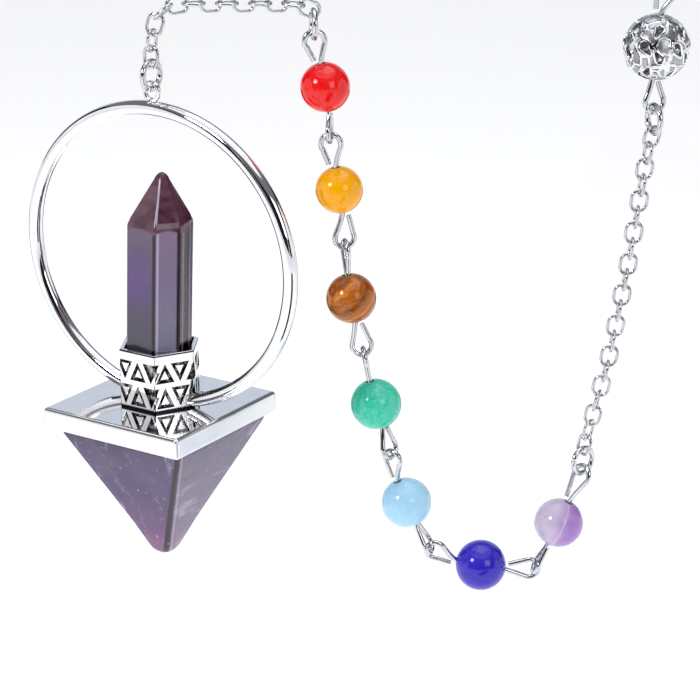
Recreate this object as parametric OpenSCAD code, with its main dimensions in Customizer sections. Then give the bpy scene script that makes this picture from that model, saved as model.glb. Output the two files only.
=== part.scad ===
// Dowsing pendulum: a quartz point and an inverted pyramid in a silver setting with a large hoop,
// hanging on a small cable chain with seven stone beads and an openwork ball.
// The setting's hoop lies in the XZ plane and its axis is Z. The origin is where the strand is held,
// straight above the setting. The strand lies in a vertical plane turned about Z.

/* [Cap] */
// side of the square cap
cap_w = 20.2; // [15:0.1:26]
// height of the cap
cap_h = 2.6; // [2:0.1:5]
// thickness of the cap's top plate
cap_plate = 0.9; // [0.5:0.1:1.5]
// chamfer of the cap's upright edges
cap_edge = 0.35; // [0.1:0.05:1]

/* [Collar] */
// circumradius of the hexagonal collar
collar_r = 5.15; // [4:0.05:7]
// height of the collar above the cap
collar_h = 7.2; // [5:0.1:10]
// depth of the triangular pockets
pocket_depth = 0.3; // [0.1:0.05:0.4]
// number of triangles in one row around the collar
pocket_count = 16; // [12:2:20]
// base width of a triangle
pocket_w = 2.3; // [1.5:0.1:3]

/* [Hoop] */
// half of the hoop's width, to the middle of its wire
hoop_half_w = 18.9; // [15:0.1:25]
// how far the hoop's middle lies beside the axis
hoop_shift = 0.3; // [-1:0.1:1]
// half of the hoop's height, to the middle of its wire
hoop_half_h = 17.7; // [15:0.1:25]
// diameter of the hoop's wire
hoop_wire = 1.75; // [1:0.05:3]
// how far the hoop's wire sinks into the cap at its lowest point
hoop_sunk = 0.45; // [0.2:0.1:0.9]
// outer diameter of the small loop on top of the hoop
loop_d = 2.6; // [2:0.1:4]
// wire of the small loop
loop_wire = 0.55; // [0.4:0.05:0.8]

/* [Stones] */
// circumradius of the six-sided point
point_r = 4.02; // [3:0.02:5]
// height of the point's shoulder above the collar
point_body = 15.2; // [8:0.1:20]
// height of the point's termination
point_tip = 5.9; // [3:0.1:9]
// how far the point leans sideways from foot to tip
point_lean = 0.9; // [0:0.1:2]
// side of the pyramid's base
pyramid_w = 18.1; // [14:0.1:19]
// how far the pyramid's base lies beside the axis
pyramid_shift = 0.35; // [0:0.05:0.5]
// depth of the pyramid below the cap
pyramid_h = 17.5; // [12:0.1:24]
// width of the rounded apex
pyramid_blunt = 1.4; // [0.4:0.1:2.5]

/* [Strand] */
// depth of the pendant's swing axis below the origin
hang_drop = 9.7; // [8:0.1:11]
// turn of the strand's plane about the vertical
strand_turn = 33; // [0:1:60]
// outer diameter of a jump ring
ring_d = 3.9; // [3:0.1:6]
// wire of a jump ring
ring_wire = 0.7; // [0.5:0.05:1]
// wire of an eye pin
pin_wire = 0.65; // [0.4:0.05:0.9]
// outer width of an eye
eye_w = 3.0; // [2.2:0.1:4]
// bore of a bead
bead_bore = 1.0; // [0.8:0.05:1.4]
// outer length of a chain link
link_l = 2.94; // [2:0.02:5]
// outer width of a chain link
link_w = 2.3; // [1.6:0.05:4]
// wire of a chain link
link_wire = 0.42; // [0.3:0.02:0.8]
// clear space between two links
link_gap = 0.13; // [0.1:0.01:0.3]

/* [Ball] */
// diameter of the openwork ball
ball_d = 7.6; // [6:0.1:10]
// wall of the openwork ball
ball_wall = 0.6; // [0.4:0.05:1]

/* [Hidden] */

silver = [0.80, 0.81, 0.83];

// The jump ring through the small loop: the loop rests on the ring's lower wire.
ring_r = (ring_d - ring_wire) / 2;
hang_gap = 0.1;
swing_z = -hang_drop;
ring_top_z = swing_z + ring_r;

// Heights in the pendant, from the loop down.
loop_r = (loop_d - loop_wire) / 2;
loop_sunk = 0.2;
loop_z = swing_z - loop_r + (loop_wire + ring_wire) / 2 + hang_gap;
hoop_high = loop_z - loop_d / 2 + loop_sunk - hoop_wire / 2;
hoop_low = hoop_high - 2 * hoop_half_h;
hoop_mid = hoop_low + hoop_half_h;
cap_top = hoop_low - hoop_wire / 2 + hoop_sunk;
cap_bottom = cap_top - cap_h;
collar_top = cap_top + collar_h;
cap_opening = pyramid_w + 0.2;

// How far a wire's middle runs past the wire or the point that it hooks on.
hook_gap = 0.14;
eye_over_ring = (pin_wire + ring_wire) / 2 + 0.1;
link_over = (link_wire + link_gap) / 2;
link_over_ring = (link_wire + ring_wire) / 2 + link_gap;
bend_ease = link_wire / 6;
link_pitch = link_l - link_wire - 2 * link_over;

// The strand's route in its own plane: distance from the pendant's axis, and height.
// Each bead: across, height, diameter.
bead_at = [[20.0, -9.5, 5.8], [21.6, -21.7, 5.6], [23.0, -35.0, 6.0], [26.0, -48.4, 6.15],
  [29.8, -61.3, 6.15], [39.1, -69.7, 6.25], [48.6, -64.0, 6.0]];
// Where the eyes of neighbouring pins hook into each other.
hook_at = [[20.5, -15.5], [22.3, -28.3], [24.5, -41.7], [27.9, -54.9], [32.8, -67.4], [45.8, -70.1]];
// Roll of each pin's two eyes: 0 shows the eye's face across the strand's plane.
eye_roll = [[8, 82], [-8, 15], [105, 5], [95, 50], [-40, 75], [-15, 2], [92, 50]];
// The two chains, between the wires that they hook on.
left_route = [[0.1, -4.9], [0.3, -3.0], [0.9, -1.3], [2.0, -0.2], [3.6, 0.2], [15.8, 0.2], [17.4, 0.0]];
right_route = [[53.9, -43.0], [55.8, -31.0], [57.6, -16.6]];
ring_left_wire = [18.7, -0.6];
ring_cut_mid = [51.3, -55.8];
ring_cut_turn = 40;
ring_right_mid = [58.1, -13.25];
ring_right_turn = 20;
ball_mid = [58.0, -4.8];
end_eye_tip = [59.3, 3.0];

function xyz(p, y = 0) = [p[0], y, p[1]];
function unit(v) = v / norm(v);
function along(r, d, i = 0) = let (l = norm(r[i + 1] - r[i]))
  i >= len(r) - 2 || d <= l ? r[i] + (r[i + 1] - r[i]) * d / l : along(r, d - l, i + 1);
function length(r, i = 0) = i >= len(r) - 1 ? 0 : norm(r[i + 1] - r[i]) + length(r, i + 1);

// A wire's direction at each of its points, and a side vector carried along it.
function heading(p, i, closed) = let (n = len(p))
  closed ? unit(p[(i + 1) % n] - p[(i + n - 1) % n])
  : i == 0 ? unit(p[1] - p[0])
  : i == n - 1 ? unit(p[n - 1] - p[n - 2])
  : unit(unit(p[i + 1] - p[i]) + unit(p[i] - p[i - 1]));
function square_to(v, t) = unit(v - (v * t) * t);
function sides(p, closed, start) = [for (i = 0, u = square_to(start, heading(p, 0, closed)); i < len(p);
  i = i + 1, u = square_to(u, heading(p, min(i, len(p) - 1), closed))) u];

// A round wire of n sides along the points p.
module wire(p, d, n, closed, start) {
  m = len(p);
  u = sides(p, closed, start);
  pts = [for (i = [0:m - 1]) let (t = heading(p, i, closed), w = cross(t, u[i]))
    for (j = [0:n - 1]) p[i] + d / 2 * (cos(360 * j / n) * u[i] + sin(360 * j / n) * w)];
  skin = [for (i = [0:(closed ? m : m - 1) - 1]) for (j = [0:n - 1])
    let (a = i * n, b = ((i + 1) % m) * n, k = (j + 1) % n) [a + j, b + j, b + k, a + k]];
  ends = closed ? [] : [[for (j = [0:n - 1]) j], [for (j = [n - 1:-1:0]) (m - 1) * n + j]];
  polyhedron(pts, concat(skin, ends), convexity = 8);
}

// A solid through a stack of sections, each a list of points with the same count.
module stack(s) {
  n = len(s[0]);
  m = len(s);
  pts = [for (q = s) for (p = q) p];
  skin = [for (i = [0:m - 2]) for (j = [0:n - 1]) let (k = (j + 1) % n)
    [i * n + j, (i + 1) * n + j, (i + 1) * n + k, i * n + k]];
  polyhedron(pts, concat(skin, [[for (j = [0:n - 1]) j], [for (j = [n - 1:-1:0]) (m - 1) * n + j]]),
    convexity = 4);
}

// A square with cut corners, half side h and corner cut c, at height z.
function cut_square(h, c, z) = [[h, -h + c, z], [h, h - c, z], [h - c, h, z], [-h + c, h, z],
  [-h, h - c, z], [-h, -h + c, z], [-h + c, -h, z], [h - c, -h, z]];

module in_strand() rotate([0, 0, strand_turn]) children();

// Turns +Z to the direction v.
module aim(v) rotate([0, acos(v[2] / norm(v)), atan2(v[1], v[0])]) children();

// A jump ring with its middle at the origin, its opening along Z and a cut of the given angle.
module jump_ring(cut = 0) rotate([0, 0, cut / 2])
  rotate_extrude(angle = 360 - cut, $fn = 48) translate([ring_r, 0]) circle(d = ring_wire, $fn = 24);

// PENDANT

module cap() difference() {
  translate([0, 0, cap_bottom]) linear_extrude(cap_h) polygon(
    [for (p = cut_square(cap_w / 2, cap_edge, 0)) [p[0], p[1]]]);
  translate([0, 0, cap_bottom - 1]) linear_extrude(cap_h - cap_plate + 1)
    translate([pyramid_shift * 0.8, pyramid_shift * 0.5]) square(cap_opening, center = true);
}

// One triangle in the collar's face: width w at its base, pointing up or down, from z0 to z1.
module triangle_cut(x, z0, z1, up) {
  face = collar_r * cos(30);
  translate([0, -face + pocket_depth, 0]) rotate([90, 0, 0]) linear_extrude(pocket_depth + 0.5)
    polygon(up ? [[x - pocket_w / 2, z0], [x + pocket_w / 2, z0], [x, z1]]
      : [[x, z0], [x + pocket_w / 2, z1], [x - pocket_w / 2, z1]]);
}

// Two rows of triangles run round the collar; each face cuts the ones that reach it.
module collar_pockets() {
  step = 6 * collar_r / pocket_count;
  rows = [[collar_top - 3.55, collar_top - 1.2], [collar_top - 6.7, collar_top - 4.2]];
  for (f = [0:5]) rotate([0, 0, 60 * f]) for (r = rows) for (k = [0:pocket_count - 1])
    let (x = (k + 0.4) * step - (f + 0.5) * collar_r, wrap = 6 * collar_r,
      x1 = x > wrap / 2 ? x - wrap : x < -wrap / 2 ? x + wrap : x)
      if (abs(x1) < collar_r / 2 + pocket_w / 2 - 0.15) triangle_cut(x1, r[0], r[1], k % 2 == 1);
}

module collar() difference() {
  translate([0, 0, cap_top - 0.2]) cylinder(r = collar_r, h = collar_h + 0.2, $fn = 6);
  collar_pockets();
}

module hoop() {
  n = 88;
  wire([for (i = [0:n - 1]) let (a = 360 * i / n)
    [hoop_shift + hoop_half_w * sin(a), 0, hoop_mid + hoop_half_h * cos(a)]], hoop_wire, 12, true, [0, 1, 0]);
}

// The hoop, the collar and the cap are soldered together, with the small loop on top.
module setting() color(silver) difference() {
  union() {
    cap();
    collar();
    hoop();
    translate([0, 0, loop_z]) rotate([90, 0, 0])
      rotate_extrude($fn = 40) translate([loop_r, 0]) circle(d = loop_wire, $fn = 20);
    translate([0, 0, hoop_high + hoop_wire / 2 - 0.5]) cylinder(d = 1.1, h = 0.62, $fn = 24);
  }
  translate([0, 0, cap_top + 0.4]) cylinder(r = socket_r, h = collar_h + 1, $fn = 6);
}

// The six-sided point: an irregular hexagon, the same on opposite sides.
point_angles = [-131.5, -62.2, -16.4, 48.5, 117.8, 163.6];
socket_r = (point_r * cos(13.6) + 0.05) / cos(30);
point_foot = cap_top + 0.4;
function point_section(r, z, share) = [for (a = point_angles) [
  r * cos(a) + point_lean * share * cos(strand_turn), r * sin(a) + point_lean * share * sin(strand_turn), z]];

module crystal_point() color([0.30, 0.26, 0.34]) stack([
  point_section(point_r, point_foot, 0),
  point_section(point_r, collar_top, 0.02),
  point_section(point_r * 0.995, collar_top + point_body, 0.62),
  point_section(0.16, collar_top + point_body + point_tip, 1)]);

// The pyramid hangs tip down, its base held in the cap. Its faces swell a little, its apex is round
// and its edges round in near the base. Each section: share of the depth, share of the base's width.
pyramid_swell = [[0.015, 0.105], [0.05, 0.16], [0.25, 0.33], [0.5, 0.556], [0.75, 0.783], [0.95, 0.965]];
function beside(share, pts) = [for (p = pts)
  p + share * pyramid_shift * [cos(strand_turn), sin(strand_turn), 0]];
module pyramid() color([0.62, 0.56, 0.66]) stack(concat(
  [cut_square(pyramid_blunt * 0.18, pyramid_blunt * 0.08, cap_bottom - pyramid_h)],
  [for (q = pyramid_swell) beside(q[0], cut_square(pyramid_w / 2 * q[1], pyramid_w * min(0.025, q[1] / 4),
    cap_bottom - pyramid_h * (1 - q[0])))],
  [for (z = [cap_bottom, cap_top - cap_plate - 0.05]) beside(1, cut_square(pyramid_w / 2, pyramid_w / 30, z))]));

// STRAND

ring_top_wire = [0, ring_top_z + ring_r];
left_start = ring_top_wire - (link_over_ring - link_over) * unit(left_route[0] - ring_top_wire);
left_end = ring_left_wire + (link_over_ring - link_over) * unit(ring_left_wire - left_route[len(left_route) - 1]);
ring_left_mid = ring_left_wire - [0, ring_r];
ring_left_low = ring_left_mid - [0, ring_r];

ring_cut_low = ring_cut_mid - [0, ring_r];
ring_cut_high = ring_cut_mid + [0, ring_r];
cut_out = unit(right_route[0] - ring_cut_high);
right_start = ring_cut_high - (link_over_ring - link_over) * cut_out;
ring_right_low = ring_right_mid - [0, ring_r];
ring_right_high = ring_right_mid + [0, ring_r];
right_end = ring_right_low + (link_over_ring - link_over) * unit(ring_right_low - right_route[2]);

// A link from end to end of its wire's middle line, rolled about its length.
module link(a, b, roll) {
  d = unit(b - a);
  flat = [d[2], 0, -d[0]];
  side = cos(roll) * flat + sin(roll) * [0, 1, 0];
  half = (link_w - link_wire) / 2;
  reach = norm(b - a) / 2 - half;
  m = 14;
  wire([for (i = [0:m - 1]) let (t = 360 * (i + 0.5) / m, s = sin(t))
    (a + b) / 2 + half * cos(t) * side + (half * s + (s > 0 ? reach : -reach)) * d],
    link_wire, 6, true, cross(d, side));
}

// A chain of links along a route, with a first and a last roll that fade in and out.
// At a bend the links reach further past each other, so that their wires stay as far apart.
module chain(route, first, last) {
  l = length(route);
  n = ceil(l / link_pitch);
  j = [for (k = [0:n]) xyz(along(route, l * k / n))];
  over = [for (k = [0:n]) k == 0 || k == n ? link_over
    : let (d = unit(j[k + 1] - j[k]), c = unit(j[k] - j[k - 1]))
      2 * link_over / norm(d + c) + bend_ease * norm(d - c)];
  for (k = [0:n - 1]) let (d = unit(j[k + 1] - j[k])) link(j[k] - over[k] * d, j[k + 1] + over[k + 1] * d,
    first * max(0, 1 - k / 5) + last * max(0, 1 - (n - 1 - k) / 5) + 90 * (k % 2));
}

// An eye: the wire leaves point e along d, goes round and comes back beside itself.
function eye(e, d, side, tip) = let (
  r = (eye_w - pin_wire) / 2,
  c = tip - r,
  b = asin(min(0.95, r / c)),
  m = 11)
  concat([for (i = [0:m]) let (a = -b + (180 + 2 * b) * i / m)
    e + r * cos(a) * side + (c + r * sin(a)) * d],
    [e - (pin_wire + 0.06) * side + 0.42 * d]);

function side_of(d, roll) = cos(roll) * [d[2], 0, -d[0]] + sin(roll) * [0, 1, 0];

// A pin through a body of radius r at mid, with an eye towards each of two targets.
module eye_pin(mid, r, target_a, over_a, roll_a, target_b, over_b, roll_b) {
  axis = unit(xyz(target_a) - xyz(target_b));
  ea = xyz(mid) + r * axis;
  eb = xyz(mid) - r * axis;
  da = unit(xyz(target_a) - ea);
  db = unit(xyz(target_b) - eb);
  top = eye(ea, da, side_of(da, roll_a), norm(xyz(target_a) - ea) + over_a);
  low = eye(eb, db, side_of(db, -roll_b), norm(xyz(target_b) - eb) + over_b);
  wire(concat([for (i = [len(top) - 1:-1:0]) top[i]], [ea, xyz(mid), eb], low),
    pin_wire, 6, false, cross(side_of(da, roll_a), da));
}

// Where two eyes hook at a bend, both reach further past the hook.
function hook_over(k) = (pin_wire + hook_gap) / norm(unit(hook_at[k] - [bead_at[k][0], bead_at[k][1]])
  - unit(hook_at[k] - [bead_at[k + 1][0], bead_at[k + 1][1]]));
function top_target(i) = i == 0 ? ring_left_low : hook_at[i - 1];
function low_target(i) = i == 6 ? ring_cut_low : hook_at[i];

module pin(i) color(silver) in_strand() eye_pin([bead_at[i][0], bead_at[i][1]], bead_at[i][2] / 2,
  top_target(i), i == 0 ? eye_over_ring : hook_over(i - 1), eye_roll[i][0],
  low_target(i), i == 6 ? eye_over_ring + 0.1 : hook_over(i), eye_roll[i][1]);

module bead(i, tint) color(tint) in_strand() translate(xyz(bead_at[i])) difference() {
  sphere(d = bead_at[i][2], $fn = 48);
  aim(xyz(top_target(i)) - xyz(low_target(i))) cylinder(d = bead_bore, h = 9, center = true, $fn = 24);
}

module ring_top() color(silver) translate([0, 0, ring_top_z]) rotate([0, 90, 0]) jump_ring();
module ring_left() color(silver) in_strand() translate(xyz(ring_left_mid))
  rotate([0, 0, 8]) rotate([0, 90, 0]) jump_ring();
module ring_cut() color(silver) in_strand() translate(xyz(ring_cut_mid))
  rotate([0, 0, ring_cut_turn]) rotate([90, 197, 0]) jump_ring(7);
module ring_right() color(silver) in_strand() translate(xyz(ring_right_mid))
  rotate([0, 0, ring_right_turn]) rotate([0, 90, 0]) jump_ring();

module chain_left() color(silver) in_strand()
  chain(concat([left_start], left_route, [left_end]), -strand_turn, 8);
module chain_right() color(silver) in_strand()
  chain(concat([right_start], right_route, [right_end]), -50, ring_right_turn);

// BALL

ball_axis = unit(xyz(end_eye_tip) - xyz(ring_right_high));

// A drop-shaped opening, cut through the wall at a height and a turn.
module petal(tilt, turn, r, long, lean) rotate([0, 0, turn]) rotate([0, 90 - tilt, 0])
  rotate([0, 0, lean]) hull() {
    cylinder(r = r, h = ball_d, $fn = 12);
    translate([long, 0, 0]) cylinder(r = r * 0.35, h = ball_d, $fn = 8);
  }

module ball() color(silver) in_strand() translate(xyz(ball_mid)) aim(ball_axis) difference() {
  sphere(d = ball_d, $fn = 36);
  sphere(d = ball_d - 2 * ball_wall, $fn = 24);
  cylinder(d = bead_bore, h = ball_d + 2, center = true, $fn = 14);
  for (k = [0:5]) {
    petal(8, 60 * k, 0.62, 0.95, 40);
    petal(-12, 60 * k + 30, 0.42, 0.9, 220);
    petal(42, 60 * k + 24, 0.45, 0.95, -20);
    petal(-46, 60 * k + 4, 0.45, 0.95, 160);
  }
}

module pin_ball() color(silver) in_strand() eye_pin(ball_mid, ball_d / 2,
  end_eye_tip, 0, -8, ring_right_high, eye_over_ring, ring_right_turn);

setting();
crystal_point();
pyramid();
ring_top();
chain_left();
ring_left();
bead(0, [0.86, 0.15, 0.15]);  // bead_red
bead(1, [1.0, 0.60, 0.05]);  // bead_orange
bead(2, [0.70, 0.36, 0.08]);  // bead_tiger
bead(3, [0.15, 0.65, 0.50]);  // bead_green
bead(4, [0.65, 0.83, 0.96]);  // bead_sky
bead(5, [0.22, 0.18, 0.62]);  // bead_blue
bead(6, [0.70, 0.58, 0.80]);  // bead_violet
pin(0);  // pin_red
pin(1);  // pin_orange
pin(2);  // pin_tiger
pin(3);  // pin_green
pin(4);  // pin_sky
pin(5);  // pin_blue
pin(6);  // pin_violet
ring_cut();
chain_right();
ring_right();
ball();
pin_ball();
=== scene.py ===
"""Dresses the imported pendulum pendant: its silver, amethyst and beads, then light and camera.

Sizes are in millimetres in the row frame until a mesh is made, and Z is up. The strand's sizes are
in its own upright plane, which is turned about Z.
"""

import logging
import math
from dataclasses import dataclass, field
from enum import Enum
from typing import Any, Iterable, Optional, Sequence, Union

import bmesh
import bpy
from mathutils import Matrix, Vector


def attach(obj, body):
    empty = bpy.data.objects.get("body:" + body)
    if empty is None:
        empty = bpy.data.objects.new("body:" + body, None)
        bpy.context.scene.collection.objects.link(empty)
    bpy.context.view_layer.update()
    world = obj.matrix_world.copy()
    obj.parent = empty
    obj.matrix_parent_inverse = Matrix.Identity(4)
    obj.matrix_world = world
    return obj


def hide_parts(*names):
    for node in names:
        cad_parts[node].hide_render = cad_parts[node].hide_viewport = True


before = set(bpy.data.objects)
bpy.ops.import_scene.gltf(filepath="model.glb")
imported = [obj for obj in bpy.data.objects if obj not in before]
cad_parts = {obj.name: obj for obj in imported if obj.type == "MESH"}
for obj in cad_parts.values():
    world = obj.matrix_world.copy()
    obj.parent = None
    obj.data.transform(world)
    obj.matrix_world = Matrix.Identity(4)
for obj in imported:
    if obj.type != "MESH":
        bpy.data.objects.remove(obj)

MM = 0.001
STRAND_TURN = 33.0  # degrees from the hoop's plane to the strand's
RING_WIRE = 0.7
BODY_LEAN = 0.6  # the share of the point's lean that its body takes
WELD = 1e-7  # metres; closer points become one
log = logging.getLogger("pendulum")

Number = Union[float, "Sock"]
Colour = tuple[float, float, float]
Stops = tuple[tuple[float, Colour], ...]


class Body(Enum):
    """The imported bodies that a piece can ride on."""

    CHAIN = "chain"
    PENDANT = "pendant"


class Slot(Enum):
    """The record's material slots."""

    SILVER = "silver"
    DARK_AMETHYST = "dark_amethyst"
    PALE_AMETHYST = "pale_amethyst"
    RED = "stone_red"
    ORANGE = "stone_orange"
    TIGER = "stone_tiger"
    GREEN = "stone_green"
    SKY = "stone_sky"
    BLUE = "stone_blue"
    VIOLET = "stone_violet"


def rgb(red: int, green: int, blue: int) -> Colour:
    """A colour as seen on a screen, 0 to 255, as linear light.

    Args:
        red: its red.
        green: its green.
        blue: its blue.

    Returns:
        The colour for a shader, 0 to 1.
    """
    return tuple(
        c / 12.92 if c <= 0.04045 else ((c + 0.055) / 1.055) ** 2.4
        for c in (red / 255, green / 255, blue / 255)
    )


def turn(x: float = 0, y: float = 0, z: float = 0) -> Matrix:
    """A turn about X, then Y, then Z, in degrees.

    Args:
        x: the turn about X.
        y: the turn about Y.
        z: the turn about Z.

    Returns:
        The three turns as one matrix.
    """
    return (
        Matrix.Rotation(math.radians(z), 4, "Z")
        @ Matrix.Rotation(math.radians(y), 4, "Y")
        @ Matrix.Rotation(math.radians(x), 4, "X")
    )


def aim(direction: Vector) -> Matrix:
    """The turn that brings +Z to a direction, tipped about Y and then turned about Z."""
    d = direction.normalized()
    return turn(y=math.degrees(math.acos(d.z)), z=math.degrees(math.atan2(d.y, d.x)))


def move(to: Vector) -> Matrix:
    """A shift from the origin to a point."""
    return Matrix.Translation(to)


def polar(angle: float, radius: float = 1, z: float = 0) -> Vector:
    """The point at an angle about Z, in radians, at a radius and a height."""
    return Vector((radius * math.cos(angle), radius * math.sin(angle), z))


def put(name: str, data: bpy.types.ID) -> bpy.types.Object:
    """Makes an object of a mesh, a light or a camera and puts it in the scene.

    Args:
        name: the object's name.
        data: the mesh, light or camera.

    Returns:
        The object.
    """
    obj = bpy.data.objects.new(name, data)
    bpy.context.scene.collection.objects.link(obj)
    return obj


STRAND_ALONG = polar(math.radians(STRAND_TURN))
STRAND_AWAY = polar(math.radians(STRAND_TURN + 90))


class Sock:
    """A node socket that takes part in arithmetic: each operator adds a Math node."""

    def __init__(self, graph: "Graph", socket: Optional[bpy.types.NodeSocket]) -> None:
        """Wraps a socket of a graph."""
        self.graph = graph
        self.socket = socket

    def maths(self, operation: str, *others: Number) -> "Sock":
        """This value and others through one Math node."""
        return self.graph.maths(operation, self, *others)

    def __add__(self, other: Number) -> "Sock":
        """self + other."""
        return self.maths("ADD", other)

    __radd__ = __add__

    def __sub__(self, other: Number) -> "Sock":
        """self - other."""
        return self.maths("SUBTRACT", other)

    def __rsub__(self, other: Number) -> "Sock":
        """other - self."""
        return self.graph.maths("SUBTRACT", other, self)

    def __mul__(self, other: Number) -> "Sock":
        """self * other."""
        return self.maths("MULTIPLY", other)

    __rmul__ = __mul__

    def __truediv__(self, other: Number) -> "Sock":
        """self / other."""
        return self.maths("DIVIDE", other)

    def __abs__(self) -> "Sock":
        """The value without its sign."""
        return self.maths("ABSOLUTE")

    def above(self, low: float, high: float) -> "Sock":
        """Rises smoothly from 0 at low to 1 at high; falls where high is the smaller.

        Args:
            low: the value that becomes 0.
            high: the value that becomes 1.

        Returns:
            The share, from 0 to 1.
        """
        return self.graph.node(
            "ShaderNodeMapRange",
            {"interpolation_type": "SMOOTHSTEP"},
            {"Value": self, "From Min": low, "From Max": high},
        )

    def line(self, at: float, width: float) -> "Sock":
        """1 on a line where the value is at, fading to 0 over the width on both sides."""
        return abs(self - at).above(width, 0)


class Graph:
    """A node tree, with the one way that a node is added to it."""

    def __init__(self, tree: bpy.types.NodeTree) -> None:
        """Takes a tree to add nodes to."""
        self.tree = tree

    def fill(self, socket: bpy.types.NodeSocket, value: Any) -> None:
        """Links or sets a socket.

        Args:
            socket: the input to fill.
            value: a Sock to link, or a plain value; a colour may come without its alpha.
        """
        if isinstance(value, Sock):
            self.tree.links.new(value.socket, socket)
            return
        if socket.type == "RGBA" and len(value) == 3:
            value = (*value, 1.0)
        socket.default_value = value

    def node(
        self,
        kind: str,
        settings: Optional[dict[str, Any]] = None,
        sockets: Optional[dict[Union[str, int], Any]] = None,
        out: Union[str, int] = 0,
    ) -> Sock:
        """Adds a node.

        Args:
            kind: the node's type.
            settings: its properties, set first; "stops" fills a colour ramp.
            sockets: values or links for its inputs, by name or number.
            out: the output to hand back.

        Returns:
            The wrapped output.
        """
        made = self.tree.nodes.new(kind)
        for name, value in (settings or {}).items():
            if name == "stops":
                self.stops(made.color_ramp, value)
            else:
                setattr(made, name, value)
        for name, value in (sockets or {}).items():
            self.fill(made.inputs[name], value)
        return Sock(self, made.outputs[out] if made.outputs else None)

    @staticmethod
    def stops(ramp: bpy.types.ColorRamp, stops: Stops) -> None:
        """Fills a colour ramp with (place, colour) stops.

        Args:
            ramp: the ramp.
            stops: each stop's place, from 0 to 1, and its colour.
        """
        while len(ramp.elements) < len(stops):
            ramp.elements.new(1.0)
        for element, (at, colour) in zip(ramp.elements, stops):
            element.position = at
            element.color = (*colour, 1.0)

    def maths(self, operation: str, *values: Number) -> Sock:
        """One Math node over values and sockets."""
        return self.node("ShaderNodeMath", {"operation": operation}, dict(enumerate(values)))

    def mix(self, share: Number, low: Union[Colour, Sock], high: Union[Colour, Sock]) -> Sock:
        """A colour between two, low at share 0 and high at share 1.

        Args:
            share: how much of the second colour it has.
            low: the first colour.
            high: the second colour.

        Returns:
            The mixed colour.
        """
        return self.node(
            "ShaderNodeMix", {"data_type": "RGBA"}, {0: share, 6: low, 7: high}, out=2
        )

    def ramp(self, value: Sock, stops: Stops) -> Sock:
        """A colour read off stops along a value from 0 to 1."""
        return self.node("ShaderNodeValToRGB", {"stops": stops}, {"Fac": value})

    def noise(
        self, where: Sock, scale: float, detail: float = 3, rough: float = 0.5, bend: float = 0
    ) -> Sock:
        """Noise from 0 to 1.

        Args:
            where: the place, in millimetres.
            scale: its lumps per millimetre.
            detail: how many finer layers it has.
            rough: how strong the finer layers are.
            bend: how far it is warped.

        Returns:
            The noise.
        """
        return self.node(
            "ShaderNodeTexNoise",
            None,
            {"Vector": where, "Scale": scale, "Detail": detail, "Roughness": rough,
             "Distortion": bend},
        )

    def along(self, where: Sock, direction: Vector) -> Sock:
        """How far a place lies along a direction.

        Args:
            where: the place.
            direction: the direction, of any length.

        Returns:
            The distance from the origin.
        """
        return self.node(
            "ShaderNodeVectorMath",
            {"operation": "DOT_PRODUCT"},
            {0: where, 1: tuple(direction.normalized())},
            out="Value",
        )


class Paint(Graph):
    """A material in the making."""

    def __init__(self, name: str) -> None:
        """Starts a material with Blender's own shader in it.

        Args:
            name: the material's name.
        """
        self.material = bpy.data.materials.new(name)
        self.material.use_nodes = True
        super().__init__(self.material.node_tree)
        self.shader = self.tree.nodes["Principled BSDF"]

    def place(self, middle: Vector = Vector(), facing: Matrix = Matrix()) -> Sock:
        """Object coordinates in millimetres about a point.

        Args:
            middle: the point that becomes the origin.
            facing: the turn whose own axes the coordinates are read along.

        Returns:
            The coordinates as a vector socket.
        """
        back = facing.to_3x3().transposed()
        seen = self.node("ShaderNodeTexCoord", None, None, out="Object")
        return self.node(
            "ShaderNodeMapping",
            None,
            {"Vector": seen, "Location": tuple(-(back @ middle)),
             "Rotation": tuple(back.to_euler()), "Scale": (1 / MM,) * 3},
        )

    def relief(self, height: Sock, depth: float) -> None:
        """Presses a height pattern into the surface, depth in millimetres.

        Args:
            height: the pattern, from 0 to 1.
            depth: how deep it goes, in millimetres.
        """
        bump = self.node(
            "ShaderNodeBump", None, {"Strength": 1.0, "Distance": depth * MM, "Height": height}
        )
        self.fill(self.shader.inputs["Normal"], bump)

    def finish(self, **sockets: Any) -> bpy.types.Material:
        """Fills the shader's sockets and ends the material.

        Args:
            sockets: values or links by the socket's name, with underscores for spaces.

        Returns:
            The material.
        """
        for name, value in sockets.items():
            self.fill(self.shader.inputs[name.replace("_", " ")], value)
        return self.material


@dataclass(frozen=True)
class Silver:
    """Polished silver-coloured metal, with faint cloudiness from wear.

    Below the height satin_below it is satin instead of mirror bright, and at each height of
    painted_shade_lines a painted shade line of the width beside it runs round the piece.
    """

    name: str = "polished_silver"
    bright: Colour = rgb(246, 246, 248)
    worn: Colour = rgb(226, 227, 232)
    gloss: float = 0.05
    wear: float = 0.07
    # Painted shade: the colour of the dark lines painted round the piece.
    painted_shade: Colour = rgb(24, 24, 28)
    satin: float = 0.3
    satin_below: Optional[float] = None
    painted_shade_lines: tuple[tuple[float, float], ...] = ()

    def material(self) -> bpy.types.Material:
        """Makes the material.

        Returns:
            The material.
        """
        p = Paint(self.name)
        where = p.place()
        cloud = p.noise(where, 0.45, 4, 0.6)
        scuff = p.noise(where, 6.0, 2, 0.6)
        p.relief(scuff, 0.002)
        rough = self.gloss + cloud.above(0.5, 0.8) * self.wear
        base = p.mix(cloud, self.worn, self.bright)
        z = p.along(where, Vector((0, 0, 1)))
        # Painted shade: a dark line round the piece at each listed height.
        for height, width in self.painted_shade_lines:
            base = p.mix(z.line(height, width) * 1.6, base, self.painted_shade)
        if self.satin_below is not None:
            rough = rough + z.above(self.satin_below, self.satin_below - 0.15) * self.satin
        return p.finish(Base_Color=base, Metallic=1.0, Roughness=rough)


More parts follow.
